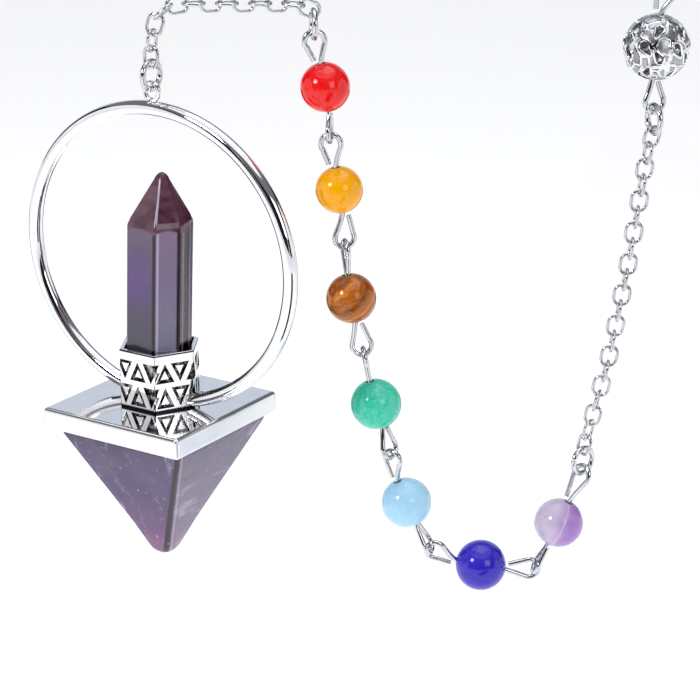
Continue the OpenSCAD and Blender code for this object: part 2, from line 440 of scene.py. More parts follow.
@dataclass(frozen=True)
class PocketShadeSilver:
    """Painted shade on the walls and floors of the collar's pockets and on its socket's walls:
    near-black metal with lighter patches.
    """

    name: str = "darkened_silver"
    # Painted shade: the near-black colour, and the colour of its lighter patches.
    dark: Colour = rgb(26, 26, 30)
    lighter_patch: Colour = rgb(176, 174, 168)
    dull: float = 0.42
    shine: float = 0.2

    def material(self) -> bpy.types.Material:
        """Makes the material.

        Returns:
            The material.
        """
        p = Paint(self.name)
        where = p.place()
        patch = p.noise(where, 1.3, 4, 0.65, 0.4)
        # Lighter patches in the painted shade.
        bright = patch.above(0.46, 0.62)
        p.relief(p.noise(where, 3.0, 3), 0.05)
        return p.finish(
            Base_Color=p.mix(bright, self.dark, self.lighter_patch),
            Metallic=1.0,
            Roughness=self.dull - bright * self.shine,
        )


@dataclass(frozen=True)
class FiligreeSilver:
    """The ball's metal: a raised web of bright wire over darker hollows."""

    name: str = "filigree_silver"
    bright: Colour = rgb(238, 239, 242)
    hollow: Colour = rgb(168, 170, 176)
    meshes_per_mm: float = 0.62
    height: float = 0.16

    def material(self, middle: Vector) -> bpy.types.Material:
        """Makes the material.

        Args:
            middle: the ball's middle.

        Returns:
            The material.
        """
        p = Paint(self.name)
        where = p.place(middle)
        sway = p.node("ShaderNodeTexNoise", None, {"Vector": where, "Scale": 0.5}, out="Color")
        bent = p.node("ShaderNodeVectorMath", {"operation": "ADD"}, {0: where, 1: sway})
        edge = p.node("ShaderNodeTexVoronoi", {"feature": "DISTANCE_TO_EDGE"},
                      {"Vector": bent, "Scale": self.meshes_per_mm}, out="Distance")
        web = edge.above(0.17, 0.06)
        grain = p.noise(where, 2.2, 2, 0.5)
        p.relief(web + grain * 0.15, self.height)
        return p.finish(
            Base_Color=p.mix(web * 0.8 + grain.above(0.5, 0.7) * 0.2, self.hollow, self.bright),
            Metallic=1.0,
            Roughness=0.3 - web * 0.2,
        )


@dataclass(frozen=True)
class SmokyAmethyst:
    """The point's dark stone, its faces painted with their own light and shade: a slate and violet
    left face, a lit lavender-grey middle face and a shaded near-black right face, with painted
    highlight and dark reflection lines along the edges, and a brown-purple termination.

    The pattern is the same on opposite faces, as the point's section is. The foot, the shoulder and
    the tip are heights, and the edges are places along the strand's plane.
    """

    foot: float
    shoulder: float
    tip: float
    lean: float
    front_edge: float = -0.36
    right_edge: float = 2.62
    name: str = "dark_amethyst"
    # Painted light and shade by face: the left face's colours up its height, then the lit middle
    # face's and the shaded right face's.
    left: Stops = (
        (0.0, rgb(66, 64, 78)), (0.3, rgb(74, 64, 90)), (0.52, rgb(84, 62, 112)),
        (0.75, rgb(88, 72, 104)), (1.0, rgb(100, 84, 104)),
    )
    middle: Stops = (
        (0.0, rgb(122, 118, 142)), (0.25, rgb(134, 128, 152)), (0.6, rgb(130, 118, 146)),
        (1.0, rgb(138, 118, 144)),
    )
    right: tuple[Colour, Colour] = (rgb(14, 0, 16), rgb(46, 20, 50))
    termination: tuple[Colour, Colour] = (rgb(62, 26, 44), rgb(104, 66, 84))
    violet: Colour = rgb(94, 64, 128)
    # Painted highlight beside the right edge, painted dark reflection and highlight along the front
    # edge, and a painted highlight up the termination.
    right_edge_highlight: Colour = rgb(150, 136, 160)
    edge_dark_reflection: Colour = rgb(22, 6, 26)
    edge_highlight: Colour = rgb(186, 178, 200)
    tip_highlight: Colour = rgb(196, 184, 206)
    haze: Colour = rgb(170, 150, 185)
    pit: Colour = rgb(30, 14, 34)

    def material(self) -> bpy.types.Material:
        """Makes the material.

        Returns:
            The material.
        """
        p = Paint(self.name)
        where = p.place()
        z = p.along(where, Vector((0, 0, 1)))
        side = p.along(where, STRAND_AWAY).above(0.4, -0.4) * 2 - 1
        slope = self.lean * BODY_LEAN / (self.shoulder - self.foot)
        u = (p.along(where, STRAND_ALONG) - (z - self.foot) * slope) * side
        cloud = p.noise(where, 0.32, 5, 0.55, 0.6)
        fine = p.noise(where, 1.6, 4, 0.6)
        tall = (z - self.foot + (cloud - 0.5) * 3.0) / (self.shoulder - self.foot)
        # Painted light and shade by face: each face gets its own colours, the right one shaded
        # near-black.
        left = p.ramp(tall, self.left)
        patch = (u + 2.5).line(0, 2.4) * tall.line(0.55, 0.36)
        left = p.mix(patch * 0.5, left, self.violet)
        middle = p.ramp(tall, self.middle)
        right = p.mix(cloud.above(0.35, 0.7), *self.right)
        body = p.mix(u.above(self.front_edge - 0.1, self.front_edge + 0.1), left, middle)
        body = p.mix(u.above(self.right_edge - 0.5, self.right_edge - 0.2), body, right)
        # Painted highlight beside the right edge, then the front edge's painted dark reflection and
        # painted highlight.
        body = p.mix(u.line(self.right_edge + 0.3, 0.14) * 0.6, body, self.right_edge_highlight)
        body = p.mix(u.line(self.front_edge - 0.04, 0.3) * 2, body, self.edge_dark_reflection)
        body = p.mix(u.line(self.front_edge + 0.4, 0.22), body, self.edge_highlight)
        tip = p.mix(cloud.above(0.35, 0.7), *self.termination)
        rise = (z - self.shoulder) / (self.tip - self.shoulder)
        # Painted highlight: a pale streak up the termination.
        tip_highlight = (u - 0.02 + (1 - rise) * 0.22).line(0, 0.2) * rise.above(0.02, 0.12)
        tip_highlight = tip_highlight * rise.above(0.92, 0.82)
        tip = p.mix(tip_highlight * 0.85, tip, self.tip_highlight)
        off = abs(u + 2.1).maths("MINIMUM", abs(u - 1.1))
        bow = off * off * 0.2
        colour = p.mix((z + bow).above(self.shoulder - 0.5, self.shoulder - 0.2), body, tip)
        colour = p.mix(fine.above(0.62, 0.8) * 0.16, colour, self.haze)
        pits = p.noise(where, 2.3, 2, 0.4).above(0.73, 0.78)
        p.relief(1 - pits, 0.05)
        return p.finish(
            Base_Color=p.mix(pits * 0.7, colour, self.pit),
            Roughness=0.06 + fine * 0.05,
            Coat_Weight=u.above(self.right_edge - 0.1, self.right_edge - 0.3) * 0.4,
            Coat_Roughness=0.03,
            IOR=1.36,
        )


@dataclass(frozen=True)
class PaleAmethyst:
    """The pyramid's stone: grey-purple and milky, with slanting veils, pinker at its apex, its
    right face painted lighter and painted reflection lines down its front corner.

    The apex and the base are heights, and shift is how far the base stands aside of the apex.
    """

    apex: float
    base: float
    shift: float
    name: str = "pale_amethyst"
    body: Stops = (
        (0.0, rgb(150, 88, 128)), (0.2, rgb(100, 58, 112)), (0.5, rgb(64, 40, 98)),
        (0.8, rgb(56, 34, 90)), (1.0, rgb(40, 14, 72)),
    )
    # Painted light: the right face's greyer, lighter colour.
    right: Colour = rgb(102, 90, 118)
    milk: Colour = rgb(94, 76, 118)
    veil: Colour = rgb(168, 160, 182)
    deep: Colour = rgb(52, 36, 76)
    # Painted reflections down the front corner: a dark line, a highlight and a faint third line.
    corner_dark_reflection: Colour = rgb(34, 8, 42)
    corner_highlight: Colour = rgb(150, 140, 160)
    corner_faint_reflection: Colour = rgb(84, 60, 92)
    side_edge: Colour = rgb(78, 50, 92)
    speck: Colour = rgb(222, 214, 230)

    def material(self) -> bpy.types.Material:
        """Makes the material.

        Returns:
            The material.
        """
        p = Paint(self.name)
        where = p.place()
        z = p.along(where, Vector((0, 0, 1)))
        depth = (z - self.apex) / (self.base - self.apex)
        x = p.along(where, Vector((1, 1, 0))) - depth * self.shift
        y = p.along(where, Vector((1, -1, 0)))
        cloud = p.noise(where, 0.16, 5, 0.6, 0.8)
        slanted = p.node(
            "ShaderNodeMapping", None,
            {"Vector": where, "Rotation": (0.35, 0.7, 0.3), "Scale": (0.8, 0.2, 0.3)},
        )
        veil = p.noise(slanted, 0.42, 7, 0.66, 1.4)
        specks = p.noise(where, 1.9, 3, 0.5).above(0.68, 0.75)
        tall = depth + (cloud - 0.5) * 0.25
        body = p.ramp(tall, self.body)
        # Painted light: the right face greyer and lighter.
        body = p.mix(x.above(0.1, 0.7) * 0.4, body, self.right)
        body = p.mix(cloud.above(0.4, 0.66) * 0.4, body, self.milk)
        body = p.mix(veil.above(0.54, 0.68) * 0.65, body, self.veil)
        body = p.mix(veil.above(0.46, 0.3) * 0.7, body, self.deep)
        # Painted reflections down the front corner: a dark line, a highlight and a faint third
        # line.
        front = y.above(-0.1, 0.1)
        body = p.mix((x + 0.12).line(0, 0.46) * front * 2.4, body, self.corner_dark_reflection)
        body = p.mix((x - 0.5).line(0, 0.26) * front * 0.8, body, self.corner_highlight)
        body = p.mix((x - 0.9).line(0, 0.14) * front * 0.9, body, self.corner_faint_reflection)
        body = p.mix((y.line(0, 0.4) * (1 - x.line(0, 0.8))) * 0.4, body, self.side_edge)
        return p.finish(
            Base_Color=p.mix(specks * 0.5, body, self.speck),
            Roughness=0.07 + cloud * 0.05,
            Coat_Weight=0.3,
            Coat_Roughness=0.03,
            IOR=1.45,
            Subsurface_Weight=0.15,
            Subsurface_Radius=(1.0, 0.8, 1.2),
            Subsurface_Scale=0.002,
        )


class Pattern(Enum):
    """How a bead's colours lie in it."""

    EVEN = "even"
    CLOUD = "cloud"
    BANDS = "bands"
    HALVES = "halves"


@dataclass(frozen=True)
class Stone:
    """A bead's polished stone: its colours, its pattern and how deep light goes."""

    name: str
    main: Colour
    vein: Colour
    pattern: Pattern = Pattern.EVEN
    share: float = 0.3
    depth: float = 0.5
    dark: Colour = (0.0, 0.0, 0.0)
    drill_line: Colour = rgb(226, 214, 236)
    brown: Colour = rgb(122, 62, 18)
    umber: Colour = rgb(96, 44, 16)

    def material(self, middle: Vector, facing: Matrix) -> bpy.types.Material:
        """Makes the material.

        Args:
            middle: the bead's middle.
            facing: the turn whose Z runs along the bead's bore.

        Returns:
            The material.
        """
        p = Paint(self.name)
        where = p.place(middle, facing)
        cloud = p.noise(where, 0.42, 4, 0.55, 0.7)
        colour = p.mix(cloud.above(0.38, 0.7) * self.share, self.main, self.vein)
        if self.pattern is Pattern.CLOUD:
            strand = p.noise(where, 0.9, 5, 0.6, 1.6)
            colour = p.mix(strand.line(0.5, 0.07) * self.share, colour, self.vein)
            colour = p.mix(strand.above(0.42, 0.28) * 0.5, colour, self.dark)
        if self.pattern is Pattern.BANDS:
            colour = self.banded(p, middle)
        if self.pattern is Pattern.HALVES:
            x = p.along(where, Vector((1, 0, 0)))
            colour = p.mix((x + (cloud - 0.5) * 3.2).above(1.4, -1.4), self.vein, self.main)
            drill = abs(x).line(0, 0.16)
            colour = p.mix(drill * 0.55, colour, self.drill_line)
            rim = p.noise(where, 1.4, 3).above(0.6, 0.8)
            colour = p.mix(rim * 0.3, colour, self.dark)
        return p.finish(
            Base_Color=colour,
            Roughness=0.1 + cloud * 0.04,
            Coat_Weight=0.2,
            Coat_Roughness=0.02,
            IOR=1.42,
            Subsurface_Weight=self.depth,
            Subsurface_Radius=(1.0, 0.7, 0.6),
            Subsurface_Scale=0.0015,
        )

    def banded(self, p: Paint, middle: Vector) -> Sock:
        """Slanting silky bands, light between dark ones.

        Args:
            p: the material in the making.
            middle: the bead's middle.

        Returns:
            The bands' colour.
        """
        where = p.place(middle, turn(x=28, y=-38, z=33))
        warp = p.noise(where, 0.28, 3, 0.5)
        z = p.along(where, Vector((0, 0, 1)))
        bands = p.noise(
            p.node("ShaderNodeCombineXYZ", None, {"Z": z + warp * 2.6, "X": warp * 0.6}),
            0.62, 3, 0.7,
        )
        colour = p.ramp(bands, ((0.30, self.dark), (0.42, self.brown), (0.52, self.main),
                                (0.60, self.vein), (0.70, self.umber)))
        fibre = p.noise(
            p.node("ShaderNodeMapping", None, {"Vector": where, "Scale": (0.25, 0.25, 1.0)}),
            5.0, 2, 0.6,
        )
        return p.mix(fibre.above(0.4, 0.7) * 0.25, colour, self.dark)


@dataclass
class Skin:
    """A mesh in millimetres while it is put together."""

    points: list[Vector] = field(default_factory=list)
    faces: list[tuple[int, ...]] = field(default_factory=list)

    def add(self, points: Iterable[Vector], faces: Iterable[Sequence[int]]) -> "Skin":
        """Adds points, and faces that count from the first of them.

        Args:
            points: the points.
            faces: each face's points, by number.

        Returns:
            This skin.
        """
        base = len(self.points)
        self.points.extend(points)
        self.faces.extend(tuple(base + i for i in face) for face in faces)
        return self

    def grid(self, rows: Sequence[Sequence[Vector]], closed: bool) -> "Skin":
        """A skin over rows of points that each go round.

        Args:
            rows: the rows, all of one length.
            closed: True if the last row joins the first; else both ends get a flat face.

        Returns:
            This skin.
        """
        n, m = len(rows[0]), len(rows)
        faces = [
            (i * n + j, ((i + 1) % m) * n + j, ((i + 1) % m) * n + (j + 1) % n, i * n + (j + 1) % n)
            for i in range(m if closed else m - 1)
            for j in range(n)
        ]
        if not closed:
            faces += [tuple(range(n)), tuple((m - 1) * n + j for j in reversed(range(n)))]
        return self.add([v for row in rows for v in row], faces)

    def wire(
        self, path: Sequence[Vector], width: float, sides: int, closed: bool = False
    ) -> "Skin":
        """A round wire along a path, its side carried along without twist.

        Args:
            path: points on the wire's middle line.
            width: the wire's diameter.
            sides: how many sides its section has.
            closed: True if the path's end joins its start.

        Returns:
            This skin.
        """
        n = len(path)
        headings = []
        for i in range(n):
            after = path[(i + 1) % n] if closed or i < n - 1 else path[i]
            before = path[i - 1] if closed or i > 0 else path[i]
            headings.append((after - before).normalized())
        side = headings[0].orthogonal().normalized()
        carried = []
        for heading in headings:
            side = (side - heading * side.dot(heading)).normalized()
            carried.append(side.copy())
        slip = 0.0
        if closed:
            last = (carried[-1] - headings[0] * carried[-1].dot(headings[0])).normalized()
            slip = math.atan2(last.cross(carried[0]).dot(headings[0]), last.dot(carried[0]))
        rows = []
        for i, (heading, u) in enumerate(zip(headings, carried)):
            w = heading.cross(u)
            extra = slip * i / n
            rows.append([
                path[i] + (u * math.cos(a) + w * math.sin(a)) * width / 2
                for a in (math.tau * j / sides + extra for j in range(sides))
            ])
        return self.grid(rows, closed)

    def lathe(self, profile: Sequence[tuple[float, float]], turns: int) -> "Skin":
        """Turns a closed outline about Z.

        Args:
            profile: the outline's points, each a radius and a height.
            turns: how many times it is set round the axis.

        Returns:
            This skin.
        """
        rows = [
            [polar(a, r, z) for r, z in profile]
            for a in (math.tau * k / turns for k in range(turns))
        ]
        return self.grid(rows, True)

    def place(self, by: Matrix) -> "Skin":
        """Turns or moves what is there."""
        self.points = [by @ v for v in self.points]
        return self

    def piece(
        self, name: str, material: bpy.types.Material, crease: float = 40
    ) -> bpy.types.Object:
        """Makes the object.

        Args:
            name: the object's and the mesh's name.
            material: its only material.
            crease: edges sharper than this many degrees stay sharp.

        Returns:
            The object, at the origin, in metres.
        """
        mesh = bpy.data.meshes.new(name)
        mesh.from_pydata([v * MM for v in self.points], [], self.faces)
        tidy(mesh)
        mesh.materials.append(material)
        obj = put(name, mesh)
        smooth(mesh, crease)
        return obj


def tidy(mesh: bpy.types.Mesh) -> None:
    """Merges doubled points and turns every face outwards.

    Args:
        mesh: the mesh.
    """
    work = bmesh.new()
    work.from_mesh(mesh)
    bmesh.ops.remove_doubles(work, verts=work.verts, dist=WELD)
    bmesh.ops.recalc_face_normals(work, faces=work.faces)
    work.to_mesh(mesh)
    work.free()


def smooth(mesh: bpy.types.Mesh, crease: float) -> None:
    """Smooth shading with sharp edges past the crease angle, in degrees."""
    mesh.shade_smooth()
    mesh.set_sharp_from_angle(angle=math.radians(crease))


def settle(obj: bpy.types.Object) -> bpy.types.Object:
    """Turns an object's modifiers into plain mesh and removes them.

    Args:
        obj: the object, whose old mesh is deleted.

    Returns:
        The same object.
    """
    bpy.context.view_layer.update()
    seen = obj.evaluated_get(bpy.context.evaluated_depsgraph_get())
    mesh = bpy.data.meshes.new_from_object(seen)
    obj.modifiers.clear()
    old, obj.data = obj.data, mesh
    mesh.name = obj.name
    bpy.data.meshes.remove(old)
    return obj


def cut(obj: bpy.types.Object, cutter: bpy.types.Object) -> None:
    """Takes a solid out of a piece; the cut faces keep the cutter's material.

    Args:
        obj: the piece.
        cutter: the solid, which is removed.
    """
    modifier = obj.modifiers.new("cut", "BOOLEAN")
    modifier.operation = "DIFFERENCE"
    modifier.object = cutter
    modifier.solver = "EXACT"
    modifier.use_self = True
    modifier.material_mode = "TRANSFER"
    settle(obj)
    bpy.data.objects.remove(cutter)


def round_edges(obj: bpy.types.Object, width: float, steps: int, limit: float = 30) -> None:
    """Rounds edges sharper than the limit.

    Args:
        obj: the piece.
        width: how wide the rounding is, in millimetres.
        steps: its segments.
        limit: the smallest angle that counts as an edge, in degrees.
    """
    modifier = obj.modifiers.new("edges", "BEVEL")
    modifier.width = width * MM
    modifier.segments = steps
    modifier.limit_method = "ANGLE"
    modifier.angle_limit = math.radians(limit)
    modifier.use_clamp_overlap = False
    settle(obj)


def flat_faces(obj: bpy.types.Object, crease: float = 40) -> None:
    """Weighs shading by face area, so that broad faces look flat beside rounded edges.

    Args:
        obj: the piece.
        crease: edges sharper than this many degrees stay sharp.
    """
    smooth(obj.data, crease)
    modifier = obj.modifiers.new("shading", "WEIGHTED_NORMAL")
    modifier.keep_sharp = True
    modifier.weight = 80
    settle(obj)


def hand_over(obj: bpy.types.Object, body: Body, slot: Slot, *nodes: str) -> None:
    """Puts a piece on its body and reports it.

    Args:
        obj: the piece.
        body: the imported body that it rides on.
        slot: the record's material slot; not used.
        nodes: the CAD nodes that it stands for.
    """
    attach(obj, body.value)
    if nodes:
        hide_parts(*nodes)
    log.info("%s: %d faces, on %s", obj.name, len(obj.data.polygons), body.value)


def ellipse(middle: Vector, u: Vector, v: Vector, count: int) -> list[Vector]:
    """Points round an ellipse.

    Args:
        middle: its middle.
        u: one half axis.
        v: the other, where the points start.
        count: how many points.

    Returns:
        The points.
    """
    return [
        middle + u * math.sin(math.tau * i / count) + v * math.cos(math.tau * i / count)
        for i in range(count)
    ]


def hexagon(radius: float, low: float, high: float) -> list[list[Vector]]:
    """The two sections of a six-sided bar with corners on the X axis."""
    return [[polar(math.tau * k / 6, radius, z) for k in range(6)] for z in (low, high)]


@dataclass
class Heights:
    """The pendant's heights, from its swing axis down."""

    swing: float = -9.7
    loop: float = -10.0
    hoop_high: float = -11.975
    hoop_mid: float = -29.675
    cap_top: float = -47.8
    cap_bottom: float = -50.4
    collar_top: float = -40.6
    shoulder: float = -25.4
    tip: float = -19.5
    apex: float = -67.9


@dataclass
class Setting:
    """The silver setting: hoop, small loop, collar and cap."""

    at: Heights
    hoop_half_w: float = 18.9
    hoop_half_h: float = 17.7
    hoop_shift: float = 0.3
    hoop_wire: float = 1.75
    loop_r: float = 1.025
    loop_wire: float = 0.55
    cap_w: float = 20.2
    cap_plate: float = 0.9
    cap_opening: float = 18.3
    collar_r: float = 5.15
    socket_r: float = 4.569
    pocket_depth: float = 0.3
    pocket_count: int = 16
    pocket_w: float = 2.3
    pocket_rows: tuple[tuple[float, float], ...] = ((3.55, 1.2), (6.7, 4.2))
    island_share: float = 0.5
    island_sunk: float = 0.12
    cap_round: float = 0.5
    collar_round: float = 0.16
    pocket_round: float = 0.035
    island_round: float = 0.05
    recess_shift: tuple[float, float] = (0.28, 0.175)
    solder_profile: tuple[tuple[float, float], ...] = (
        (0.02, -0.45), (0.62, -0.45), (0.6, -0.12), (0.5, 0.02), (0.4, 0.1), (0.34, 0.16),
        (0.02, 0.16),
    )

    def build(self, silver: bpy.types.Material, dark: bpy.types.Material) -> None:
        """Makes and hands over the setting's pieces.

        Args:
            silver: the hoop's metal.
            dark: the metal with painted shade in the pockets and the collar's socket.
        """
        sided = Silver("cap_silver", satin_below=self.at.cap_top - 0.25).material()
        # Painted shade on the collar's silver: a contact shadow line at its foot on the cap, and a
        # dark line just under its top rim.
        shade_lined = Silver("collar_silver", painted_shade_lines=(
            (self.at.cap_top + 0.08, 0.42), (self.at.collar_top - 0.13, 0.13),
        )).material()
        for piece in (self.hoop(silver), self.cap(sided), self.collar(shade_lined, dark)):
            hand_over(piece, Body.PENDANT, Slot.SILVER, "setting")

    def hoop(self, silver: bpy.types.Material) -> bpy.types.Object:
        """The hoop, with the small loop soldered on its top.

        Args:
            silver: its metal.

        Returns:
            The hoop.
        """
        skin = Skin()
        skin.wire(
            ellipse(Vector((self.hoop_shift, 0, self.at.hoop_mid)),
                    Vector((self.hoop_half_w, 0, 0)), Vector((0, 0, self.hoop_half_h)), 240),
            self.hoop_wire, 28, True,
        )
        skin.wire(
            ellipse(Vector((0, 0, self.at.loop)), Vector((self.loop_r, 0, 0)),
                    Vector((0, 0, self.loop_r)), 56),
            self.loop_wire, 18, True,
        )
        top = self.at.hoop_high + self.hoop_wire / 2
        solder = Skin().lathe(self.solder_profile, 28).place(move(Vector((0, 0, top))))
        return skin.add(solder.points, solder.faces).piece("hoop", silver)

    def cap(self, silver: bpy.types.Material) -> bpy.types.Object:
        """The square cap with rounded edges, open below for the pyramid.

        Args:
            silver: its metal.

        Returns:
            The cap.
        """
        cap = self.slab(self.cap_w, self.at.cap_bottom, self.at.cap_top).piece("cap", silver)
        round_edges(cap, self.cap_round, 6)
        recess = self.slab(
            self.cap_opening, self.at.cap_bottom - 1, self.at.cap_top - self.cap_plate
        ).place(move(Vector((*self.recess_shift, 0)))).piece("recess", silver)
        cut(cap, recess)
        flat_faces(cap)
        return cap

    @staticmethod
    def slab(side: float, low: float, high: float) -> Skin:
        """A square block between two heights.

        Args:
            side: its width.
            low: its bottom.
            high: its top.

        Returns:
            The block's skin.
        """
        h = side / 2
        corners = [(-h, -h), (h, -h), (h, h), (-h, h)]
        return Skin().grid([[Vector((x, y, z)) for x, y in corners] for z in (low, high)], False)

    def collar(self, silver: bpy.types.Material, dark: bpy.types.Material) -> bpy.types.Object:
        """The six-sided collar with its two rows of triangular pockets.

        Args:
            silver: the collar's metal.
            dark: the metal with painted shade in the pockets and the socket.

        Returns:
            The collar, with the low triangles that stand in its pockets.
        """
        low, high = self.at.cap_top - 0.2, self.at.collar_top
        collar = Skin().grid(hexagon(self.collar_r, low, high), False).piece("collar", silver)
        round_edges(collar, self.collar_round, 3)
        # The cut faces of the socket and the pockets take the painted shade.
        socket = Skin().grid(hexagon(self.socket_r, low - 1, high + 1), False)
        cut(collar, socket.piece("socket", dark))
        pockets, islands = Skin(), Skin()
        for face in range(6):
            for below, above in self.pocket_rows:
                for k in range(self.pocket_count):
                    self.pocket(pockets, islands, face, high - below, high - above, k)
        cut(collar, pockets.piece("pockets", dark, 10))
        round_edges(collar, self.pocket_round, 2, 50)
        flat_faces(collar)
        raised = islands.piece("islands", silver, 10)
        round_edges(raised, self.island_round, 2, 20)
        join(collar, raised)
        return collar

    def pocket(
        self, cuts: Skin, islands: Skin, face: int, z0: float, z1: float, k: int
    ) -> None:
        """One triangle on a face, pointing down and up in turn round the collar.

        Args:
            cuts: takes the pocket's solid.
            islands: takes the low triangle that stands in the pocket.
            face: the collar's face, 0 to 5.
            z0: the pocket's lower end.
            z1: its upper end.
            k: its number in the row.
        """
        step = 6 * self.collar_r / self.pocket_count
        wrap = 6 * self.collar_r
        x = (k + 0.4) * step - (face + 0.5) * self.collar_r
        x = x - wrap if x > wrap / 2 else x + wrap if x < -wrap / 2 else x
        if abs(x) >= self.collar_r / 2 + self.pocket_w / 2 - 0.15:
            return
        h = self.pocket_w / 2
        outline = (
            [(x - h, z0), (x + h, z0), (x, z1)] if k % 2 else [(x, z0), (x + h, z1), (x - h, z1)]
        )
        apothem = self.collar_r * math.cos(math.pi / 6)
        by = turn(z=60 * face)
        cuts.grid([[by @ Vector((u, y, z)) for u, z in outline]
                   for y in (-apothem + self.pocket_depth, -apothem - 0.5)], False)
        if abs(x) > self.collar_r / 2 - h * 0.6:
            return
        mid_u = sum(u for u, _ in outline) / 3
        mid_z = sum(z for _, z in outline) / 3
        share = self.island_share
        small = [(mid_u + (u - mid_u) * share, mid_z + (z - mid_z) * share) for u, z in outline]
        foot, top = -apothem + self.pocket_depth + 0.02, -apothem + self.island_sunk
        islands.grid([[by @ Vector((u, y, z)) for u, z in small] for y in (foot, top)], False)


def rounded(outline: Sequence[Vector], radius: float, steps: int = 6) -> list[Vector]:
    """An outline that runs anticlockwise at one height, with its corners rounded.

    Args:
        outline: the corners.
        radius: the corners' radius.
        steps: points on each corner.

    Returns:
        The rounded outline.
    """
    n, points = len(outline), []
    for i, corner in enumerate(outline):
        before, after = corner - outline[i - 1], outline[(i + 1) % n] - corner
        out_a = Vector((before.y, -before.x, 0)).normalized()
        out_b = Vector((after.y, -after.x, 0)).normalized()
        inner = corner - (out_a + out_b) * (radius / (1 + out_a.dot(out_b)))
        first = math.atan2(out_a.y, out_a.x)
        span = (math.atan2(out_b.y, out_b.x) - first) % math.tau
        for k in range(steps):
            a = first + span * k / (steps - 1)
            points.append(inner + polar(a) * radius)
    return points


@dataclass
class CrystalPoint:
    """The six-sided stone point that stands in the collar."""

    at: Heights
    radius: float = 4.02
    lean: float = 0.9
    foot_lean: float = 0.02
    edge: float = 0.42
    angles: tuple[float, ...] = (-131.5, -62.2, -16.4, 48.5, 117.8, 163.6)
    dome: tuple[tuple[float, float], ...] = (
        (1.0, -20.4), (0.9, -20.17), (0.75, -19.95), (0.55, -19.76), (0.3, -19.62), (0.1, -19.57),
    )

    def section(self, radius: float, z: float) -> list[Vector]:
        """A six-sided section with round corners, moved sideways by its share of the lean.

        Args:
            radius: from its middle to its corners.
            z: its height.

        Returns:
            The section's points.
        """
        body = self.at.shoulder - self.at.collar_top
        share = max(0, self.foot_lean + BODY_LEAN * (z - self.at.collar_top) / body)
        if z > self.at.shoulder:
            at_shoulder = self.foot_lean + BODY_LEAN
            rise = (z - self.at.shoulder) / (self.at.tip - self.at.shoulder)
            share = at_shoulder + (1 - at_shoulder) * rise
        shift = STRAND_ALONG * self.lean * share
        corners = [polar(math.radians(a), radius, z) + shift for a in self.angles]
        return rounded(corners, min(self.edge, radius * 0.7))

    def build(self) -> None:
        """Makes, dresses and hands over the point."""
        r, top = self.radius, self.at.shoulder
        apex = self.at.tip + 0.75
        rows = [(r, self.at.cap_top + 0.4), (r, self.at.collar_top), (r, top - 0.45),
                (r * 0.995, top - 0.2), (r * 0.98, top), (r * 0.95, top + 0.22)]
        rows += [(r * (apex - z) / (apex - top), z) for z in (top + 0.6, top + 2.4, top + 4)]
        rows += list(self.dome)
        stone = SmokyAmethyst(self.at.collar_top, top, self.at.tip, self.lean)
        skin = Skin().grid([self.section(*row) for row in rows], False)
        point = skin.piece("crystal_point_stone", stone.material(), 60)
        flat_faces(point, 60)
        hand_over(point, Body.PENDANT, Slot.DARK_AMETHYST, "crystal_point")


@dataclass
class Pyramid:
    """The stone pyramid that hangs tip down from the cap."""

    at: Heights
    width: float = 18.1
    shift: float = 0.35
    seat: float = 1.6
    swell: tuple[tuple[float, float], ...] = (
        (0.0, 0.004), (0.002, 0.032), (0.006, 0.062), (0.015, 0.1), (0.03, 0.135), (0.05, 0.163),
        (0.1, 0.207), (0.25, 0.33), (0.5, 0.556), (0.75, 0.783), (0.95, 0.965), (1.0, 0.992),
    )

    def section(self, half: float, radius: float, z: float, share: float) -> list[Vector]:
        """A square section with round corners.

        Args:
            half: half its width.
            radius: its corners' radius.
            z: its height.
            share: how much of the sideways shift it has.

        Returns:
            The section's points.
        """
        shift = STRAND_ALONG * self.shift * share
        corners = [Vector((x * half, y * half, z)) + shift
                   for x, y in ((-1, -1), (1, -1), (1, 1), (-1, 1))]
        return rounded(corners, radius)

    def build(self) -> None:
        """Makes, dresses and hands over the pyramid."""
        deep = self.at.cap_bottom - self.at.apex
        rows = []
        for share, wide in self.swell:
            half = self.width / 2 * wide
            radius = min(half * 0.96, 0.9 - 0.42 * share)
            rows.append(self.section(half, radius, self.at.apex + deep * share, share))
        rows.append(self.section(self.width / 2, 0.48, self.at.cap_bottom + self.seat, 1))
        t = math.radians(STRAND_TURN)
        along_edge = self.shift * (math.cos(t) + math.sin(t)) / math.sqrt(2)
        stone = PaleAmethyst(self.at.apex, self.at.cap_bottom, along_edge)
        pyramid = Skin().grid(rows, False).piece("pyramid_stone", stone.material(), 60)
        flat_faces(pyramid, 60)
        hand_over(pyramid, Body.PENDANT, Slot.PALE_AMETHYST, "pyramid")


@dataclass(frozen=True)
class Bead:
    """One bead of the strand: where its middle is, its size, its stone and its eyes."""

    colour: str
    across: float
    height: float
    diameter: float
    eye_roll: tuple[float, float]
    slot: Slot
    stone: Stone


